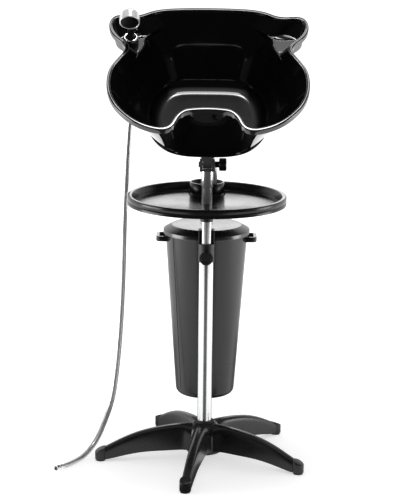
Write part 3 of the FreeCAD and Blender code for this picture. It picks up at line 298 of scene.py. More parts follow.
POLISHED_BLACK = finish("polished black moulding", (0.0025, 0.0025, 0.003), (0.004, 0.004, 0.0045),
                        smooth=0.02, rough=0.10, grain=420.0, bump=0.006, coat=0.8, scoured=0.3)
SATIN_BLACK = finish("satin black moulding", (0.008, 0.008, 0.0085), (0.012, 0.012, 0.0125),
                     smooth=0.24, rough=0.38, grain=1500.0, bump=0.16, dust=0.015)
TRAY_BLACK = finish("tray moulding", (0.006, 0.006, 0.0063), (0.009, 0.009, 0.0093),
                    smooth=0.18, rough=0.28, grain=1500.0, bump=0.05, level=0.35)
BUCKET_BLACK = finish("bucket moulding", (0.008, 0.008, 0.0083), (0.011, 0.011, 0.0113),
                      smooth=0.20, rough=0.32, grain=1200.0, bump=0.08, dust=0.006)
LID_BLACK = finish("lid moulding", (0.010, 0.010, 0.0105), (0.014, 0.014, 0.0145),
                   smooth=0.24, rough=0.34, grain=900.0, bump=0.04, level=1.0)
KNOB_BLACK = finish("knob moulding", (0.008, 0.008, 0.0085), (0.013, 0.013, 0.0135),
                    smooth=0.36, rough=0.55, grain=1900.0, bump=0.3)
CHROME = finish("bright chrome", CHROME_DARK, CHROME_LIGHT,
                smooth=0.03, rough=0.14, grain=700.0, bump=0.004, metal=1.0)
SATIN_CHROME = finish("satin chrome", CHROME_DARK, CHROME_LIGHT,
                      smooth=0.16, rough=0.26, grain=700.0, bump=0.006, metal=1.0)
BRUSHED = finish("brushed chrome", (0.72, 0.73, 0.74), (0.80, 0.805, 0.81),
                 smooth=0.16, rough=0.28, grain=700.0, bump=0.01, metal=0.7)
# The bell is partly a white non-metal. Its whiteness is a painted reflection of the bright surroundings that
# a chrome bell would mirror.
PAINTED_WHITE_BELL_CHROME = finish("bell chrome with painted white reflection", (0.88, 0.885, 0.89), (0.93, 0.935, 0.94),
                     smooth=0.08, rough=0.16, grain=700.0, bump=0.006, metal=0.4)
ZINC = finish("plain zinc", (0.42, 0.43, 0.44), (0.55, 0.56, 0.57),
              smooth=0.25, rough=0.5, grain=800.0, bump=0.1, metal=1.0)
BRASS = finish("turned brass", (0.52, 0.39, 0.16), (0.62, 0.48, 0.22),
               smooth=0.2, rough=0.42, grain=800.0, bump=0.1, metal=1.0)
DULL_BLACK = finish("dull black moulding", (0.004, 0.004, 0.0043), (0.006, 0.006, 0.0063),
                    smooth=0.4, rough=0.55, grain=1500.0, bump=0.1, level=0.15)
HEAD_BLACK = finish("tilt head moulding", (0.11, 0.11, 0.112), (0.135, 0.135, 0.138),
                    smooth=0.3, rough=0.45, grain=1500.0, bump=0.2)
RUBBER = finish("soft rubber", (0.012, 0.012, 0.012), (0.02, 0.02, 0.02),
                smooth=0.6, rough=0.85, grain=1300.0, bump=0.4)
NYLON = finish("natural nylon", (0.52, 0.52, 0.49), (0.60, 0.60, 0.57),
               smooth=0.35, rough=0.55, grain=900.0, bump=0.15)
HOSE_GREY = finish("smooth grey hose", (0.60, 0.605, 0.61), (0.70, 0.705, 0.71),
                   smooth=0.2, rough=0.36, grain=500.0, bump=0.06, metal=0.55)
FINISH_OF_SLOT = {"black_gloss": POLISHED_BLACK, "black_satin": SATIN_BLACK, "black_knob": KNOB_BLACK,
                  "chrome": CHROME, "steel": ZINC, "brass": BRASS, "rubber": RUBBER, "nylon": NYLON,
                  "grey_hose": HOSE_GREY}

# Making and finishing a piece


def dressed(mesh, name, body, slot, stands_for, look=None, edge=0.0, segments=3):
    mesh.shade_smooth()
    mesh.set_sharp_from_angle(angle=SHARP_ANGLE)
    made = bpy.data.objects.new(name, mesh)
    bpy.context.scene.collection.objects.link(made)
    mesh.materials.clear()
    mesh.materials.append(look or FINISH_OF_SLOT[slot])
    if edge:
        bevel = made.modifiers.new("broken edges", "BEVEL")
        bevel.width = edge * MM
        bevel.segments = segments
        bevel.limit_method = "ANGLE"
        bevel.angle_limit = SHARP_ANGLE
        bevel.harden_normals = True
    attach(made, body)
    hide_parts(*stands_for)
    return made


def piece(bm, name, body, slot, stands_for, look=None, edge=0.0, segments=3, place=None):
    if place is not None:
        bm.transform(place)
    bm.transform(Matrix.Scale(MM, 4))
    mesh = bpy.data.meshes.new(name)
    bm.to_mesh(mesh)
    bm.free()
    return dressed(mesh, name, body, slot, stands_for, look, edge, segments)


def turned(profile, steps=TURN_STEPS, closed=True):
    # Radius and height pairs spun round the upright axis; an open profile starts and ends on the axis
    bm = bmesh.new()
    verts = [bm.verts.new((r, 0, z)) for r, z in profile]
    following = verts[1:] + verts[:1] if closed else verts[1:]
    edges = [bm.edges.new(pair) for pair in zip(verts, following)]
    bmesh.ops.spin(bm, geom=verts + edges, cent=(0, 0, 0), axis=(0, 0, 1), angle=FULL_TURN, steps=steps,
                   use_merge=True)
    bmesh.ops.remove_doubles(bm, verts=bm.verts, dist=MERGE)
    bmesh.ops.recalc_face_normals(bm, faces=bm.faces)
    return bm


def joined(target, other, place=None):
    # Puts a second form into the same piece
    if place is not None:
        other.transform(place)
    mesh = bpy.data.meshes.new("form")
    other.to_mesh(mesh)
    other.free()
    target.from_mesh(mesh)
    bpy.data.meshes.remove(mesh)
    return target


def with_modifiers(bm, set_up):
    # A form after its modifiers, back as a bmesh
    mesh = bpy.data.meshes.new("form")
    bm.to_mesh(mesh)
    bm.free()
    holder = bpy.data.objects.new("form", mesh)
    bpy.context.scene.collection.objects.link(holder)
    set_up(holder)
    done = bpy.data.meshes.new_from_object(holder.evaluated_get(bpy.context.evaluated_depsgraph_get()))
    result = bmesh.new()
    result.from_mesh(done)
    bpy.data.objects.remove(holder)
    bpy.data.meshes.remove(mesh)
    bpy.data.meshes.remove(done)
    return result


def plain_copy(node):
    bm = bmesh.new()
    bm.from_mesh(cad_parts[node].data)
    bmesh.ops.remove_doubles(bm, verts=bm.verts, dist=MERGE * MM)
    bmesh.ops.dissolve_limit(bm, angle_limit=FLAT_ANGLE, verts=bm.verts, edges=bm.edges)
    bm.transform(Matrix.Scale(1 / MM, 4))
    return bm


def eased_copy(node, body, slot, edge, look=None, segments=3):
    # The CAD node with its edges broken
    return piece(plain_copy(node), node + "_eased", body, slot, [node], look, edge, segments)


def even_shading(made):
    # Large faces lead the shading, so that narrow rings beside them leave no streaks
    made.modifiers.new("even shading", "WEIGHTED_NORMAL").keep_sharp = True


def round_edges(bm, offset):
    rims = [e for e in bm.edges if e.calc_face_angle(0) > SHARP_ANGLE]
    bmesh.ops.bevel(bm, geom=rims, offset=offset, affect="EDGES", segments=4, profile=0.5, material=-1)


def cylinder(radius, depth, place, segments=TURN_STEPS):
    bm = bmesh.new()
    bmesh.ops.create_cone(bm, cap_ends=True, segments=segments, radius1=radius, radius2=radius, depth=depth,
                          matrix=place)
    return bm


def ribbed(bm, outline, share):
    # Every second corner of an outline moves in, which leaves fine ribs
    outline.sort(key=lambda v: (round(v.co.z, 2), math.atan2(v.co.y, v.co.x)))
    bmesh.ops.scale(bm, vec=(share, share, 1), verts=outline[::2])


def smooth_curve(name, points, steps, closed):
    # An object that holds a curve led by these points
    curve = bpy.data.curves.new(name, "CURVE")
    curve.dimensions = "3D"
    spline = curve.splines.new("NURBS")
    spline.points.add(len(points) - 1)
    for control, p in zip(spline.points, points):
        control.co = (*p, 1)
    spline.use_cyclic_u = closed
    spline.order_u = CURVE_ORDER
    spline.use_endpoint_u = not closed
    spline.resolution_u = steps
    return bpy.data.objects.new(name, curve)


# Hoses

SPRAY_HOSE_D = 13.0
DRAIN_HOSE_D = 24.0
SPRAY_HOSE_UPPER = [(-185.0, 61.2, 978.8), (-185.0, 109.7, 909.5), (-189.0, 123.0, 838.0),
                    (-196.0, 122.0, 752.0), (-200.0, 116.0, 660.0)]
SPRAY_HOSE_LOWER = [
    (-200.0, 116.0, 660.0), (-204.0, 110.0, 568.0), (-205.3, 107.0, 470.0), (-208.3, 100.5, 378.0),
    (-213.0, 91.5, 290.0), (-220.0, 79.5, 205.0), (-230.0, 65.0, 125.0), (-252.5, 41.5, 63.0),
    (-266.5, 21.0, 34.0), (-281.0, -2.0, 17.0), (-296.0, -34.0, 8.3), (-315.0, -66.0, 6.8),
    (-331.0, -93.0, 7.2), (-341.0, -107.0, 8.1),
]
DRAIN_HOSE = [
    (0.0, 34.05, 808.4), (0.0, 69.0, 758.5), (9.0, 88.0, 722.0), (14.5, 102.0, 690.0), (9.0, 116.0, 655.0),
    (1.5, 130.0, 612.0), (0.0, 132.0, 560.0), (0.0, 132.0, 250.0),
]
HOSE_ROUND = 8


def hose(name, route, diameter, node):
    holder = smooth_curve(name, [Vector(p) * MM for p in route], HOSE_ROUND, closed=False)
    curve = holder.data
    line = bpy.data.meshes.new_from_object(holder)
    curve.bevel_depth = diameter / 2 * MM
    curve.bevel_resolution = HOSE_ROUND
    curve.use_fill_caps = True
    tube = bpy.data.meshes.new_from_object(holder)
    bpy.data.objects.remove(holder)
    tube.name = name
    tube.shade_smooth()
    tube.set_sharp_from_angle(angle=SHARP_ANGLE)
    made = bpy.data.objects.new(name, tube)
    bpy.context.scene.collection.objects.link(made)
    tube.materials.clear()
    tube.materials.append(HOSE_GREY)
    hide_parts(node)
    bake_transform(made)


hose_ferrule = eased_copy("hose_ferrule", "stand", "chrome", 0.5)
hose_end_nut = eased_copy("hose_end_nut", "stand", "chrome", 0.6)
hose("hose_to_sprayer", SPRAY_HOSE_UPPER, SPRAY_HOSE_D, "spray_hose_upper")
hose("hose_to_floor", SPRAY_HOSE_LOWER, SPRAY_HOSE_D, "spray_hose_lower")
hose("hose_to_bucket", DRAIN_HOSE, DRAIN_HOSE_D, "drain_hose")

# Basin moulding

FLOOR_W = 75.0
RIM_W = 250.0
BASIN_WALL = 3.5
FLOOR_ROUND = 22.0
OUTER_TURN_IN = 0.75
OUTER_TURN_UP = 0.8
INNER_ROUND = 46.0
WALL_LEAN = math.radians(63)
TURN_RINGS = 12
LIP_WIDTH = 10.0
SHELF_W = 215.0
WALL_JOIN_W = 160.0
LINE_STEPS = 6
DRAIN_V = 70.0
DRAIN_HOLE_R = 20.1
# Corners of the right half, back centre to front centre
RIM_CORNERS = [
    (58, 281), (128, 274), (170, 247), (222, 256), (240, 224), (231, 180), (189, 138), (212, 98),
    (234, 55), (234, -18), (209, -78), (156, -132), (82, -152), (61, -84), (20, -77),
]
BOWL_CORNERS = [
    (58, 281), (128, 274), (160, 250), (175, 222), (182, 195), (186, 165), (191, 134), (212, 98),
    (234, 55), (234, -18), (209, -78), (156, -132), (82, -152), (61, -84), (20, -77),
]
FLOOR_CORNERS = [
    (30, 196), (62, 195), (90, 188), (111, 174), (127, 155), (138, 132), (145, 106), (148, 78),
    (147, 52), (142, 26), (134, 0), (118, -26), (94, -48), (60, -60), (20, -63),
]
# The pocket's own corners on the shelf: where its wall stands and where the shelf ends towards the bowl
POCKET_FOOT = [(148, 214), (188, 230), (228, 190), (188, 150), (161, 158)]
SHELF_EDGE = [(148, 214), (150, 205), (149, 185), (155, 168), (161, 158)]
POCKET_FIRST = 2
POCKET_LAST = 7
# Corners, height and how far they are eased: up the inside of a pocket, and down its outside
POCKET_INSIDE = [
    (SHELF_EDGE, 206.0, 0.0), (SHELF_EDGE, 210.6, -0.6), (SHELF_EDGE, 213.4, -2.2),
    (SHELF_EDGE, 214.7, -4.2), (SHELF_EDGE, SHELF_W, -6.5), (POCKET_FOOT, SHELF_W, 2.5),
    (POCKET_FOOT, 215.8, 0.8), (POCKET_FOOT, 218.5, 0.0),
]
POCKET_OUTSIDE = [
    (POCKET_FOOT, 216.0, -3.5), (POCKET_FOOT, 212.6, -2.6), (POCKET_FOOT, 211.5, 0.0),
    (SHELF_EDGE, 211.5, -3.5), (SHELF_EDGE, 208.0, -3.5),
]
# Inset from the rim's outline and height: over the lip, down its skirt and back underneath
LIP_PROFILE = [
    (10.4, 243.5), (10.3, 246.0), (9.7, 248.0), (8.7, 249.4), (7.4, 250.0), (2.8, 250.0), (1.5, 249.5),
    (0.5, 248.2), (0.1, 246.2), (0.0, 243.4), (0.0, 237.5), (0.4, 236.4), (1.5, 236.0), (2.6, 236.4),
    (3.0, 237.5), (3.0, 244.0), (3.8, 245.4), (5.4, 245.6), (6.6, 244.4),
]


def mirrored(half):
    return half + [(-u, v) for u, v in reversed(half)]


def inset_corners(corners, amount):
    # Each corner of a clockwise outline moves inwards so that its two sides move by the amount
    moved = []
    count = len(corners)
    for i, (u, v) in enumerate(corners):
        before = corners[i - 1]
        after = corners[(i + 1) % count]
        a = Vector((u - before[0], v - before[1])).normalized()
        b = Vector((after[0] - u, after[1] - v)).normalized()
        normal = Vector((a.y + b.y, -a.x - b.x))
        reach = amount * 2 / normal.dot(normal)
        moved.append((u + normal.x * reach, v + normal.y * reach))
    return moved


def between(low, high, share):
    return [(a[0] + (b[0] - a[0]) * share, a[1] + (b[1] - a[1]) * share) for a, b in zip(low, high)]


rim_line = mirrored(RIM_CORNERS)
floor_line = mirrored(FLOOR_CORNERS)
bowl_line = inset_corners(mirrored(BOWL_CORNERS), LIP_WIDTH - BASIN_WALL)
wall_low = FLOOR_W + FLOOR_ROUND


def wall_line(inset, w):
    share = (w - wall_low) / (RIM_W - wall_low)
    return inset_corners(between(floor_line, bowl_line, share), inset)


def pocket_line(corners, inset, w, ease, end_ease):
    # The bowl's wall at this height, led round the pockets by their own corners, whose two ends stay in line
    half = len(RIM_CORNERS)
    plain = wall_line(inset, w)
    led = mirrored(plain[:POCKET_FIRST] + corners + plain[POCKET_LAST:half])
    eased = inset_corners(led, ease)
    ends = inset_corners(led, end_ease)
    first, last = POCKET_FIRST, POCKET_LAST - 1
    middle = [ends[first]] + eased[first + 1:last] + [ends[last]]
    return mirrored(plain[:first] + middle + plain[POCKET_LAST:half])


def smooth_line(corners, w):
    holder = smooth_curve("line", [(u, v, w) for u, v in corners], LINE_STEPS, closed=True)
    curve = holder.data
    mesh = bpy.data.meshes.new_from_object(holder)
    points = [v.co.copy() for v in mesh.vertices]
    bpy.data.objects.remove(holder)
    bpy.data.curves.remove(curve)
    bpy.data.meshes.remove(mesh)
    return points


def loop_edges(bm, points):
    verts = [bm.verts.new(p) for p in points]
    return [bm.edges.new(pair) for pair in zip(verts, verts[1:] + verts[:1])]


def outer_turn():
    # The outside round between floor and wall, from the floor upwards
    lines = []
    for step in range(TURN_RINGS):
        angle = math.pi / 2 * step / TURN_RINGS
        inside = FLOOR_ROUND * OUTER_TURN_IN * (1 - math.sin(angle))
        height = FLOOR_ROUND * OUTER_TURN_UP * (1 - math.cos(angle))
        lines.append((inset_corners(floor_line, inside), FLOOR_W + height))
    top = FLOOR_W + FLOOR_ROUND * OUTER_TURN_UP
    lines.append((wall_line(0.0, top), top))
    return lines


def inner_turn(inset, floor):
    # The bowl's inside round, which ends along the leaning wall
    top = floor + INNER_ROUND * (1 - math.cos(WALL_LEAN))
    foot = wall_line(inset, top)
    lines = []
    for step in range(TURN_RINGS):
        angle = WALL_LEAN * step / TURN_RINGS
        inside = INNER_ROUND * (math.sin(WALL_LEAN) - math.sin(angle))
        lines.append((inset_corners(foot, inside), floor + INNER_ROUND * (1 - math.cos(angle))))
    lines.append((foot, top))
    return lines


def basin_lines():
    # Every line of the moulding, from the floor inside over the rim to the floor outside
    inner = inner_turn(BASIN_WALL, FLOOR_W + BASIN_WALL)
    inner.append((wall_line(BASIN_WALL, WALL_JOIN_W), WALL_JOIN_W))
    inner += [(pocket_line(corners, BASIN_WALL, w, ease, 0.0), w) for corners, w, ease in POCKET_INSIDE]
    rim = [(inset_corners(rim_line, inset), w) for inset, w in LIP_PROFILE]
    outer = [(pocket_line(corners, 0.0, w, ease, -BASIN_WALL), w) for corners, w, ease in POCKET_OUTSIDE]
    outer.append((wall_line(0.0, WALL_JOIN_W), WALL_JOIN_W))
    return inner + rim + outer + list(reversed(outer_turn()))


def drain_ring(count, w):
    turns = [FULL_TURN * k / count for k in range(count)]
    return [Vector((DRAIN_HOLE_R * math.sin(a), DRAIN_V + DRAIN_HOLE_R * math.cos(a), w)) for a in turns]


PAD_SIZE = (84.0, 56.0, 8.5)
PAD_LOW = 68.0
PAD_EDGE = 1.5
BASIN_MERGE = 0.08


def basin_moulding():
    bm = bmesh.new()
    loops = [smooth_line(corners, w) for corners, w in basin_lines()]
    count = len(loops[0])
    top = drain_ring(count, FLOOR_W + BASIN_WALL)
    bottom = drain_ring(count, FLOOR_W)
    rings = [loop_edges(bm, points) for points in [top] + loops + [bottom]]
    for lower, upper in zip(rings, rings[1:] + rings[:1]):
        bmesh.ops.bridge_loops(bm, edges=lower + upper)
    bmesh.ops.remove_doubles(bm, verts=bm.verts, dist=BASIN_MERGE)
    bmesh.ops.dissolve_degenerate(bm, edges=bm.edges, dist=MERGE)
    bmesh.ops.recalc_face_normals(bm, faces=bm.faces)
    pad = bmesh.new()
    bmesh.ops.create_cube(pad, size=1, matrix=Matrix.Diagonal((*PAD_SIZE, 1)))
    bmesh.ops.bevel(pad, geom=pad.edges, offset=PAD_EDGE, affect="EDGES", segments=3, profile=0.5,
                    material=-1)
    joined(bm, pad, Matrix.Translation((0, 0, PAD_LOW + PAD_SIZE[2] / 2)))
    even_shading(piece(bm, "basin_moulding", "basin", "black_gloss", ["basin_shell"], place=BASIN_PLACE))


basin_moulding()

# Star base

LEG_COUNT = 5
LEG_START = math.radians(-99.6)
FOOT_RADIUS = 257.0
BOSS_R = 14.0
LEG_WALL = 3.5
LEG_HEM = 2.5
SHOULDER_FALL = 0.9
SHOULDER_IN = 0.3
SHOULDER_BELOW = 3.0
SLOPE_ACROSS = 0.45
SLOPE_UP = 0.6
RIDGE_ROUND = 0.9
RIDGE_FLAT = 0.55
FOOT_HEIGHT = 40.0
FOOT_MID_Z = 23.0
FOOT_TOP_Z = 30.5
FOOT_SLOPE = (0.42, 0, 0.91)
FOOT_EDGE = 2.2
FOOT_STEPS = 48
# Radius, underside, ridge, half width of the sides and of the ridge
LEG_STATIONS = [
    (30.0, 24.0, 88.2, 27.0, 8.6), (44.0, 24.0, 88.0, 21.0, 8.0), (52.0, 24.0, 87.7, 16.6, 7.6),
    (62.0, 24.0, 87.1, 14.8, 7.2), (90.0, 23.0, 85.0, 14.0, 6.5), (120.0, 22.6, 80.6, 13.5, 6.2),
    (150.0, 21.5, 74.5, 13.0, 6.0), (175.0, 18.5, 66.8, 12.8, 6.0), (200.0, 14.0, 57.0, 12.5, 6.0),
    (224.0, 8.6, 45.5, 12.2, 6.0), (248.0, 4.0, 33.5, 12.0, 6.0),
]


def leg_section(low, ridge, side, crest):
    # Half of a leg's section, from its lower edge over the shoulder to the ridge
    shoulder = ridge - (side - crest) * SHOULDER_FALL
    slope = (crest + (side - crest) * SLOPE_ACROSS, shoulder + (ridge - shoulder) * SLOPE_UP)
    return [(side, low), (side, low + LEG_HEM), (side, (low + shoulder) / 2),
            (side - SHOULDER_IN, shoulder - SHOULDER_BELOW), slope, (crest, ridge - RIDGE_ROUND),
            (crest * RIDGE_FLAT, ridge)]


def leg():
    bm = bmesh.new()
    chains = []
    for radius, *section in LEG_STATIONS:
        half = leg_section(*section)
        line = half + [(-y, z) for y, z in reversed(half)]
        verts = [bm.verts.new((radius, y, z)) for y, z in line]
        chains.append([bm.edges.new(pair) for pair in zip(verts, verts[1:])])
    for inner, outer in zip(chains, chains[1:]):
        bmesh.ops.bridge_loops(bm, edges=inner + outer)
    bmesh.ops.recalc_face_normals(bm, faces=bm.faces)
    top = max(bm.faces, key=lambda f: f.calc_center_median().z)
    if top.normal.z < 0:
        bmesh.ops.reverse_faces(bm, faces=bm.faces)

    def set_up(holder):
        smooth = holder.modifiers.new("smooth", "SUBSURF")
        smooth.levels = 2
        smooth.render_levels = 2
        wall = holder.modifiers.new("wall", "SOLIDIFY")
        wall.thickness = LEG_WALL
        wall.offset = -1

    return with_modifiers(bm, set_up)


def foot():
    # A round end whose top slopes down outwards
    bm = cylinder(BOSS_R, FOOT_HEIGHT, Matrix.Translation((FOOT_RADIUS, 0, FOOT_MID_Z)), FOOT_STEPS)
    cut = bmesh.ops.bisect_plane(bm, geom=bm.verts[:] + bm.edges[:] + bm.faces[:],
                                 plane_co=(FOOT_RADIUS, 0, FOOT_TOP_Z), plane_no=FOOT_SLOPE, clear_outer=True)
    edges = [e for e in cut["geom_cut"] if isinstance(e, bmesh.types.BMEdge)]
    bmesh.ops.holes_fill(bm, edges=edges)
    round_edges(bm, FOOT_EDGE)
    bmesh.ops.recalc_face_normals(bm, faces=bm.faces)
    return bm


def star_base():
    bm = turned([
        (20.0, 18.0), (42.0, 16.0), (44.0, 18.0), (44.0, 60.0), (41.0, 72.0), (35.0, 83.0), (30.0, 88.0),
        (26.0, 90.0), (17.7, 90.0), (17.7, 30.0), (14.2, 30.0), (14.2, 18.0),
    ])
    for k in range(LEG_COUNT):
        turn = Matrix.Rotation(LEG_START + k * FULL_TURN / LEG_COUNT, 4, "Z")
        joined(bm, leg(), turn)
        joined(bm, foot(), turn)
    piece(bm, "star_base", "stand", "black_satin", ["base_star"])


star_base()

# Column

# Inner and outer radius, lower and upper end
OUTER_TUBE = (16.0, 17.5, 30.0, 538.0)
INNER_TUBE = (11.0, 12.5, 70.0, 720.0)
SLEEVE_PROFILE = [(12.55, 680.0), (13.5, 680.0), (14.1, 682.0), (14.5, 685.5), (14.5, 719.9), (12.55, 719.9)]


def tube(inner, outer, low, high):
    return turned([(inner, low), (outer, low), (outer, high), (inner, high)])


piece(tube(*OUTER_TUBE), "column_outer", "stand", "chrome", ["outer_tube"], SATIN_CHROME, edge=0.4)
piece(tube(*INNER_TUBE), "column_inner", "lift", "chrome", ["inner_tube"], BRUSHED, edge=0.4)
piece(turned(SLEEVE_PROFILE), "sleeve_under_head", "lift", "chrome", ["head_sleeve"], BRUSHED, edge=0.6)

# Tray


def cut_with(bm, tool):
    mesh = bpy.data.meshes.new("tool")
    tool.to_mesh(mesh)
    tool.free()
    cutter = bpy.data.objects.new("tool", mesh)
    bpy.context.scene.collection.objects.link(cutter)

    def set_up(holder):
        cut = holder.modifiers.new("cut", "BOOLEAN")
        cut.operation = "DIFFERENCE"
        cut.solver = "EXACT"
        cut.object = cutter

    result = with_modifiers(bm, set_up)
    bpy.data.objects.remove(cutter)
    bpy.data.meshes.remove(mesh)
    return result


HOSE_RING_Y = 120.0
HOSE_RING_R = 42.5
HOSE_RING_BORE_R = 38.5
TRAY_STEPS = 160
TRAY_FLOOR_MID = 638.5
TRAY_HOLE_R = HOSE_RING_BORE_R + 1.0
TRAY_HOLE_DEPTH = 20.0


def round_tray():
    bm = turned([
        (12.9, 637.0), (174.5, 637.0), (178.0, 638.2), (179.5, 641.0), (182.3, 657.5), (187.5, 657.5),
        (188.8, 648.0), (188.8, 640.0), (191.4, 640.0), (191.5, 647.6), (190.6, 648.8), (191.4, 650.0),
        (191.5, 658.2), (190.7, 660.1), (189.0, 661.0), (183.0, 661.0), (181.0, 660.2), (180.0, 658.6),
        (177.2, 645.0), (175.4, 641.2), (172.0, 640.0), (12.9, 640.0),
    ], steps=TRAY_STEPS)
    hole = cylinder(TRAY_HOLE_R, TRAY_HOLE_DEPTH, Matrix.Translation((0, HOSE_RING_Y, TRAY_FLOOR_MID)))
    bm = cut_with(bm, hole)
    spout = turned([
        (HOSE_RING_BORE_R, 637.0), (HOSE_RING_R + 3.0, 637.0), (HOSE_RING_R + 3.0, 640.6),
        (HOSE_RING_R + 1.6, 642.6), (HOSE_RING_R, 644.4), (HOSE_RING_R, 670.3), (HOSE_RING_R - 0.8, 671.4),
        (HOSE_RING_BORE_R + 0.8, 671.4), (HOSE_RING_BORE_R, 670.3),
    ])
    joined(bm, spout, Matrix.Translation((0, HOSE_RING_Y, 0)))
    piece(bm, "round_tray", "lift", "black_satin", ["tray"], TRAY_BLACK)


round_tray()

# Bucket and lid

BUCKET_PLACE = Matrix.Translation((0, 132.0, 0))
# Radius and height where the bucket's outer wall starts and ends
WALL_FOOT = (73.4, 141.0)
WALL_TOP = (102.1, 541.6)
HANDLE_Z = 522.0
HANDLE_MID_X = 109.0
HANDLE_REACH = 32.0
HANDLE_WIDTH = 62.0
HANDLE_THICK = 13.0
HANDLE_BAR = 9.0
HANDLE_CORNER = 12.0
HANDLE_EDGE = 2.4
HANDLE_ROOT_R = 98.8
SEAM_ANGLE = math.radians(-144.0)
SEAM_LEAN = math.atan2(WALL_TOP[0] - WALL_FOOT[0], WALL_TOP[1] - WALL_FOOT[1])
SEAM_MID_R = (WALL_FOOT[0] + WALL_TOP[0]) / 2
SEAM_MID_Z = (WALL_FOOT[1] + WALL_TOP[1]) / 2
SEAM_LENGTH = 396.0
SEAM_WIDTH = 2.0
SEAM_DEPTH = 1.2


def bucket_handle(side):
    # A flat loop: a rounded plate with its middle taken out
    bm = bmesh.new()
    plate = Matrix.Translation((HANDLE_MID_X, 0, 0)) @ Matrix.Diagonal((HANDLE_REACH, HANDLE_WIDTH, 1, 1))
    bmesh.ops.create_grid(bm, x_segments=1, y_segments=1, size=0.5, matrix=plate)
    outer = [v for v in bm.verts if v.co.x > HANDLE_MID_X]
    bmesh.ops.bevel(bm, geom=outer, offset=HANDLE_CORNER, affect="VERTICES", segments=8, profile=0.5,
                    material=-1)
    ring = bmesh.ops.inset_region(bm, faces=bm.faces[:], thickness=HANDLE_BAR, use_even_offset=True,
                                  use_boundary=True)
    middle = [f for f in bm.faces if f not in ring["faces"]]
    bmesh.ops.delete(bm, geom=middle, context="FACES")
    bmesh.ops.solidify(bm, geom=bm.faces[:], thickness=HANDLE_THICK)
    bmesh.ops.recalc_face_normals(bm, faces=bm.faces)
    round_edges(bm, HANDLE_EDGE)
    bm = cut_with(bm, cylinder(HANDLE_ROOT_R, HANDLE_THICK * 4, Matrix.Identity(4)))
    turn = Matrix.Identity(4) if side > 0 else Matrix.Rotation(math.pi, 4, "Z")
    low = min(v.co.z for v in bm.verts)
    bm.transform(Matrix.Translation((0, 0, HANDLE_Z - low)) @ turn)
    return bm


def seam_cutter():
    # A shallow groove down the bucket's left front, where the two halves of the mould met
    bm = bmesh.new()
    bar = Matrix.Diagonal((SEAM_DEPTH * 2, SEAM_WIDTH, SEAM_LENGTH, 1))
    bmesh.ops.create_cube(bm, size=1.0, matrix=bar)
    lean = Matrix.Rotation(SEAM_LEAN, 4, "Y")
    around = Matrix.Rotation(SEAM_ANGLE, 4, "Z")
    bm.transform(around @ Matrix.Translation((SEAM_MID_R, 0, SEAM_MID_Z)) @ lean)
    return bm


def bucket():
    bm = turned([
        (0, 127.0), (57.5, 127.0), (64.0, 128.2), (69.0, 131.5), (72.2, 136.0), WALL_FOOT, WALL_TOP,
        (103.0, 542.0), (103.9, 542.2), (104.4, 543.2), (104.4, 545.0), (103.5, 546.0), (100.5, 546.0),
        (99.8, 545.0), (70.9, 141.0), (69.6, 136.6), (66.6, 132.8), (62.6, 130.2), (56.5, 129.5), (0, 129.5),
    ], closed=False)
    bm = cut_with(bm, seam_cutter())
    for side in (-1, 1):
        joined(bm, bucket_handle(side))
    even_shading(piece(bm, "bucket_moulding", "bucket", "black_satin", ["bucket_body"], BUCKET_BLACK,
                       place=BUCKET_PLACE))


def lid():
    bm = turned([
        (105.0, 540.0), (107.0, 540.0), (107.5, 540.6), (107.5, 549.6), (107.0, 550.8), (106.0, 551.6),
        (88.6, 561.4), (86.6, 562.2), (84.0, 562.5), (15.6, 562.5), (15.0, 562.0), (15.0, 560.6),
        (15.6, 560.0), (84.0, 560.0), (98.0, 546.1), (105.0, 546.1),
    ])
    piece(bm, "lid_moulding", "bucket_lid", "black_satin", ["bucket_lid"], LID_BLACK, place=BUCKET_PLACE)


bucket()
lid()

# Sprayer in its holder

SPRAYER_U = -185.0
SPRAYER_V = 190.0
HEAD_DIP = math.radians(9.5)
HEAD_CENTRE = Matrix.Translation((SPRAYER_U, 170.0, 293.0))
HEAD_PLACE = BASIN_PLACE @ HEAD_CENTRE @ Matrix.Rotation(HEAD_DIP - math.pi / 2, 4, "X")
HOLDER_PLACE = BASIN_PLACE @ Matrix.Translation((SPRAYER_U, SPRAYER_V, 0))
# Radius and count of each ring of jets
JET_ROWS = ((0.0, 1), (5.5, 6), (10.5, 12), (15.5, 18))
JET_TIP_R = 0.55
JET_ROOT_R = 0.9
JET_LENGTH = 1.4
JET_STEPS = 10
GROOVES_LOW = 221.5
GROOVES_HIGH = 226.0
GROOVES_R = 18.0
GROOVE_SHARE = 0.95
RING_STEPS = 72


def spray_head():
    bm = turned([
        (21.1, 3.0), (21.1, 0.6), (21.7, 0.0), (22.7, 0.0), (23.7, 0.8), (24.0, 2.2), (24.0, 18.0),
        (23.9, 20.0), (23.1, 23.0), (21.7, 25.8), (19.9, 28.4), (17.6, 30.8), (14.6, 32.7), (11.2, 33.8),
        (8.0, 34.0), (0, 34.0),
    ], closed=False)
    piece(bm, "spray_head_bell", "sprayer", "chrome", ["sprayer_head"], PAINTED_WHITE_BELL_CHROME, place=HEAD_PLACE)


def spray_plate():
    bm = turned([
        (0, 0.3), (12.0, 0.4), (19.0, 0.9), (20.5, 1.4), (20.95, 2.0), (20.95, 3.0), (0, 3.0),
    ], closed=False)
    for radius, count in JET_ROWS:
        for k in range(count):
            angle = FULL_TURN * k / count
            jet = bmesh.new()
            bmesh.ops.create_cone(jet, cap_ends=True, segments=JET_STEPS, radius1=JET_TIP_R,
                                  radius2=JET_ROOT_R, depth=JET_LENGTH)
            spot = (radius * math.cos(angle), radius * math.sin(angle), JET_LENGTH / 2)
            joined(bm, jet, Matrix.Translation(spot))
    piece(bm, "spray_plate", "sprayer", "black_knob", ["spray_face"], DULL_BLACK, place=HEAD_PLACE)


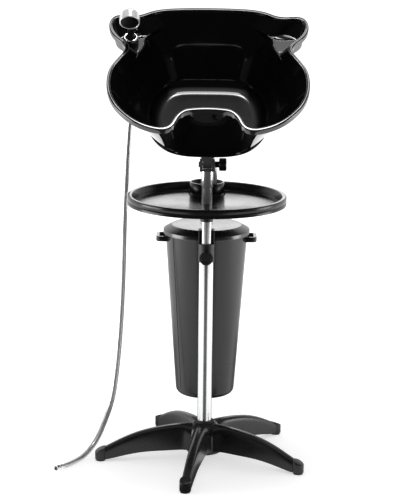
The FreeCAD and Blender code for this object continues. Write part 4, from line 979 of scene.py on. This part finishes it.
def sprayer_grip():
    bm = turned([
        (0, 221.0), (11.4, 221.0), (12.0, 221.6), (12.0, 228.4), (11.4, 229.4), (9.4, 237.0), (8.5, 240.0),
        (7.6, 262.0), (7.0, 281.5), (6.4, 282.0), (0, 282.0),
    ], closed=False)
    piece(bm, "sprayer_grip", "sprayer", "black_knob", ["sprayer_handle"], place=HOLDER_PLACE)


def holder_ring():
    bm = turned([
        (12.5, 221.0), (17.3, 221.0), (18.25, 222.0), (18.25, 225.8), (17.7, 226.3), (18.25, 226.8),
        (18.25, 230.6), (17.6, 232.4), (16.0, 233.7), (14.4, 234.0), (13.1, 233.6), (12.5, 232.4),
    ], steps=RING_STEPS)
    band = [v for v in bm.verts if GROOVES_LOW < v.co.z < GROOVES_HIGH]
    ribbed(bm, [v for v in band if math.hypot(v.co.x, v.co.y) > GROOVES_R], GROOVE_SHARE)
    piece(bm, "holder_ring_bright", "basin", "chrome", ["holder_ring"], place=HOLDER_PLACE)


spray_head()
spray_plate()
sprayer_grip()
holder_ring()

# Height lock knob: a ribbed disc on a hub

KNOB_Z = 511.0
KNOB_BACK = -24.4
KNOB_RIBS = 60
KNOB_RIB_R = 16.6
KNOB_RIB_SHARE = 0.965


def lock_knob():
    bm = turned([
        (4.05, 0.0), (9.0, 0.0), (9.0, 4.4), (9.6, 5.0), (15.6, 5.0), (16.8, 6.2), (17.0, 8.0), (17.0, 10.6),
        (16.4, 12.2), (14.8, 13.0), (11.6, 13.0), (11.0, 12.4), (10.6, 11.6), (0, 11.5),
    ], steps=KNOB_RIBS * 2, closed=False)
    ribbed(bm, [v for v in bm.verts if math.hypot(v.co.x, v.co.y) > KNOB_RIB_R], KNOB_RIB_SHARE)
    place = Matrix.Translation((0, KNOB_BACK, KNOB_Z)) @ Matrix.Rotation(math.pi / 2, 4, "X")
    piece(bm, "lock_knob", "height_knob", "black_knob", ["height_knob"], place=place)


lock_knob()

# The rest keeps its CAD form with broken edges

# Node, body, slot and width of the broken edge
SMALL_PIECES = [
    ("hub_ring", "stand", "rubber", 0.8), ("column_collar", "stand", "black_knob", 0.8),
    ("hanger_screw", "stand", "steel", 0.2), ("tube_plug", "stand", "steel", 0.4),
    ("base_washer", "stand", "steel", 0.3), ("base_bolt", "stand", "steel", 0.4),
    ("guide_bush", "stand", "nylon", 0.3), ("foot_bush", "lift", "nylon", 0.3),
    ("tray_collar", "lift", "black_knob", 0.8), ("tray_set_screw", "lift", "steel", 0.3),
    ("pivot_bolt", "lift", "steel", 0.5), ("lug_screws", "basin", "steel", 0.4),
    ("drain_flange", "basin", "chrome", 0.5), ("drain_gasket", "basin", "rubber", 0.3),
    ("drain_nut", "basin", "black_knob", 0.5), ("drain_tail", "basin", "black_knob", 0.5),
    ("holder_gasket", "basin", "rubber", 0.3), ("holder_shank", "basin", "black_knob", 0.4),
    ("holder_nut", "basin", "black_knob", 0.5), ("height_knob_stud", "height_knob", "steel", 0.3),
    ("tilt_knob", "tilt_knob", "black_knob", 0.8), ("tilt_knob_insert", "tilt_knob", "brass", 0.2),
    ("sprayer_ferrule", "sprayer", "chrome", 0.4), ("drain_strainer", "strainer", "chrome", 0.4),
    ("bucket_hook", "bucket", "black_satin", 0.4),
]
for node, body, slot, edge in SMALL_PIECES:
    eased_copy(node, body, slot, edge)
eased_copy("bucket_hanger", "stand", "black_knob", 0.6, DULL_BLACK)
eased_copy("tilt_socket", "lift", "black_knob", 0.7, HEAD_BLACK)
eased_copy("tilt_lug", "basin", "black_knob", 0.8, HEAD_BLACK)
for k in range(1, LEG_COUNT + 1):
    eased_copy("foot_glide_%d" % k, "stand", "rubber", 0.5)

# Floor, studio light and white surroundings

# The dim shares hold only where the object mirrors the floor and the room; the camera sees both white
FLOOR_SIZE = 30.0
FLOOR_ROUGH = 0.9
FLOOR_WHITE = 0.55
FLOOR_GREY = 0.82
FRONT_DIM = 0.9
FAR_DIM = 0.99
BACK_DIM = 0.75
ROOM_DIM = 0.98
CEILING_LIGHT = 0.55
BACKDROP_RISE = 0.6
DIFFUSE_ROOM = 0.4
# Directions as the share of y, and distances from the column in metres, over which the floor changes
FRONT_SECTOR = (-0.92, -0.86)
FRONT_REACH = (2.1, 2.3)
BACK_SECTOR = (0.55, 0.75)
BACK_REACH = (0.9, 1.2)
BACK_LEAST = 0.3
AHEAD_SECTOR = (-0.15, -0.05)
FAR_REACH = (2.3, 2.4)
GLOW_REACH = (0.7, 2.2)
# The same for the room, in shares of y or z
ROOM_FRONT = (-0.6, -0.2)
ROOM_ABOVE = (0.1, 0.3)
ROOM_HIGH = (0.6, 0.85)
ROOM_AHEAD = (-0.3, -0.1)
ROOM_AHEAD_LEAST = 0.25
LAMP_Z = 3.0
# Name, place, aim (none is straight down), size and power
LAMPS = [
    ("strip overhead", (0.0, -0.05, LAMP_Z), None, (0.68, 0.4), 18.0),
    ("strip ahead", (0.0, -0.515, LAMP_Z), None, (0.6, 0.53), 6.0),
    ("over the front rim", (0.0, 0.2, LAMP_Z), None, (0.9, 0.1), 3.4),
    ("left window", (-2.4, -0.25, 0.5), (0.0, -0.15, 0.45), (1.5, 0.8), 24.0),
    ("right window", (2.4, -0.1, 0.5), (0.0, 0.0, 0.4), (1.0, 0.8), 13.0),
    ("left over the rim", (-0.485, 0.455, LAMP_Z), None, (0.31, 0.41), 1.7),
    ("left over the pocket", (-0.265, 0.535, LAMP_Z), None, (0.13, 0.13), 0.06),
    ("right over the rim", (0.485, 0.455, LAMP_Z), None, (0.31, 0.41), 1.7),
    ("right over the pocket", (0.265, 0.535, LAMP_Z), None, (0.13, 0.13), 0.06),
    ("over the back rim", (0.0, 0.645, LAMP_Z), None, (0.48, 0.12), 1.0),
    ("back light", (0.0, 3.0, 1.5), (0.0, 0.0, 0.6), (1.2, 0.9), 6.5),
]


def dim_side(tree, x, y):
    # How dim the floor is on the photographer's side, and less so straight behind the object
    across = maths(tree, "ADD", maths(tree, "MULTIPLY", x, x), maths(tree, "MULTIPLY", y, y))
    radius = maths(tree, "SQRT", across, 0.0)
    along = maths(tree, "DIVIDE", y, radius)
    depth = remap(tree, radius, *FRONT_REACH, FRONT_DIM, FAR_DIM)
    front = maths(tree, "MULTIPLY", remap(tree, along, *FRONT_SECTOR, 1.0, 0.0), depth)
    near = remap(tree, radius, *BACK_REACH, 1.0, BACK_LEAST)
    back = maths(tree, "MULTIPLY", remap(tree, along, *BACK_SECTOR, 0.0, BACK_DIM), near)
    ahead = remap(tree, along, *AHEAD_SECTOR, 1.0, 0.0)
    distant = maths(tree, "MULTIPLY", remap(tree, radius, *FAR_REACH, 0.0, FAR_DIM), ahead)
    return maths(tree, "MAXIMUM", maths(tree, "MAXIMUM", front, back), distant), radius


def pale_floor():
    bm = bmesh.new()
    bmesh.ops.create_grid(bm, x_segments=1, y_segments=1, size=FLOOR_SIZE)
    mesh = bpy.data.meshes.new("floor")
    bm.to_mesh(mesh)
    bm.free()
    made = bpy.data.objects.new("floor", mesh)
    bpy.context.scene.collection.objects.link(made)
    look = bpy.data.materials.new("pale floor")
    look.use_nodes = True
    tree = look.node_tree
    shader = tree.nodes["Principled BSDF"]
    shader.inputs["Roughness"].default_value = FLOOR_ROUGH
    shader.inputs["Specular IOR Level"].default_value = 0.0
    path = add_node(tree, "ShaderNodeLightPath")
    place = add_node(tree, "ShaderNodeSeparateXYZ")
    tree.links.new(add_node(tree, "ShaderNodeTexCoord").outputs["Object"], place.inputs["Vector"])
    unlit, radius = dim_side(tree, place.outputs["X"], place.outputs["Y"])
    mirrored_only = maths(tree, "MULTIPLY", unlit, path.outputs["Is Glossy Ray"])
    tone = maths(tree, "SUBTRACT", 1.0, mirrored_only)
    grey = add_node(tree, "ShaderNodeCombineColor")
    for channel in grey.inputs:
        tree.links.new(maths(tree, "MULTIPLY", tone, FLOOR_GREY), channel)
    tree.links.new(grey.outputs["Color"], shader.inputs["Base Color"])
    shader.inputs["Emission Color"].default_value = (1, 1, 1, 1)
    seen = maths(tree, "MAXIMUM", path.outputs["Is Camera Ray"], path.outputs["Is Glossy Ray"])
    far = remap(tree, radius, *GLOW_REACH, FLOOR_WHITE, 1.0)
    glow = maths(tree, "MULTIPLY", maths(tree, "MULTIPLY", seen, tone), far)
    tree.links.new(glow, shader.inputs["Emission Strength"])
    mesh.materials.append(look)


def studio_world():
    world = bpy.data.worlds.new("white studio")
    bpy.context.scene.world = world
    world.use_nodes = True
    tree = world.node_tree
    tree.nodes.clear()
    out = add_node(tree, "ShaderNodeOutputWorld")
    path = add_node(tree, "ShaderNodeLightPath")
    direction = add_node(tree, "ShaderNodeSeparateXYZ")
    tree.links.new(add_node(tree, "ShaderNodeTexCoord").outputs["Generated"], direction.inputs["Vector"])
    facing_front = remap(tree, direction.outputs["Y"], *ROOM_FRONT, ROOM_DIM, 0.0)
    behind = maths(tree, "MULTIPLY", maths(tree, "MAXIMUM", direction.outputs["Y"], 0.0), BACKDROP_RISE)
    rise = maths(tree, "SUBTRACT", direction.outputs["Z"], behind)
    above = remap(tree, rise, *ROOM_ABOVE, 0.0, ROOM_DIM)
    dark = maths(tree, "SUBTRACT", 1.0, maths(tree, "MAXIMUM", facing_front, above))
    high = remap(tree, direction.outputs["Z"], *ROOM_HIGH, 0.0, CEILING_LIGHT)
    ahead = remap(tree, direction.outputs["Y"], *ROOM_AHEAD, 1.0, ROOM_AHEAD_LEAST)
    tone = maths(tree, "ADD", dark, maths(tree, "MULTIPLY", high, ahead))
    lit = add_node(tree, "ShaderNodeBackground")
    lit.inputs["Color"].default_value = (1, 1, 1, 1)
    glossy = maths(tree, "MULTIPLY", tone, path.outputs["Is Glossy Ray"])
    other = maths(tree, "SUBTRACT", 1.0, path.outputs["Is Glossy Ray"])
    plain = maths(tree, "MULTIPLY", other, DIFFUSE_ROOM)
    strength = maths(tree, "ADD", glossy, plain)
    seen = maths(tree, "MAXIMUM", path.outputs["Is Camera Ray"], path.outputs["Is Transmission Ray"])
    tree.links.new(maths(tree, "MAXIMUM", strength, seen), lit.inputs["Strength"])
    tree.links.new(lit.outputs["Background"], out.inputs["Surface"])


def soft_box(name, place, aim, size, power):
    data = bpy.data.lights.new(name, "AREA")
    data.shape = "RECTANGLE"
    data.size, data.size_y = size
    data.energy = power
    lamp = bpy.data.objects.new(name, data)
    lamp.location = place
    aim = aim or (place[0], place[1], 0.0)
    lamp.rotation_euler = (Vector(aim) - Vector(place)).to_track_quat("-Z", "Y").to_euler()
    bpy.context.scene.collection.objects.link(lamp)


pale_floor()
studio_world()
for lamp in LAMPS:
    soft_box(*lamp)
bpy.context.scene.view_settings.view_transform = "Standard"
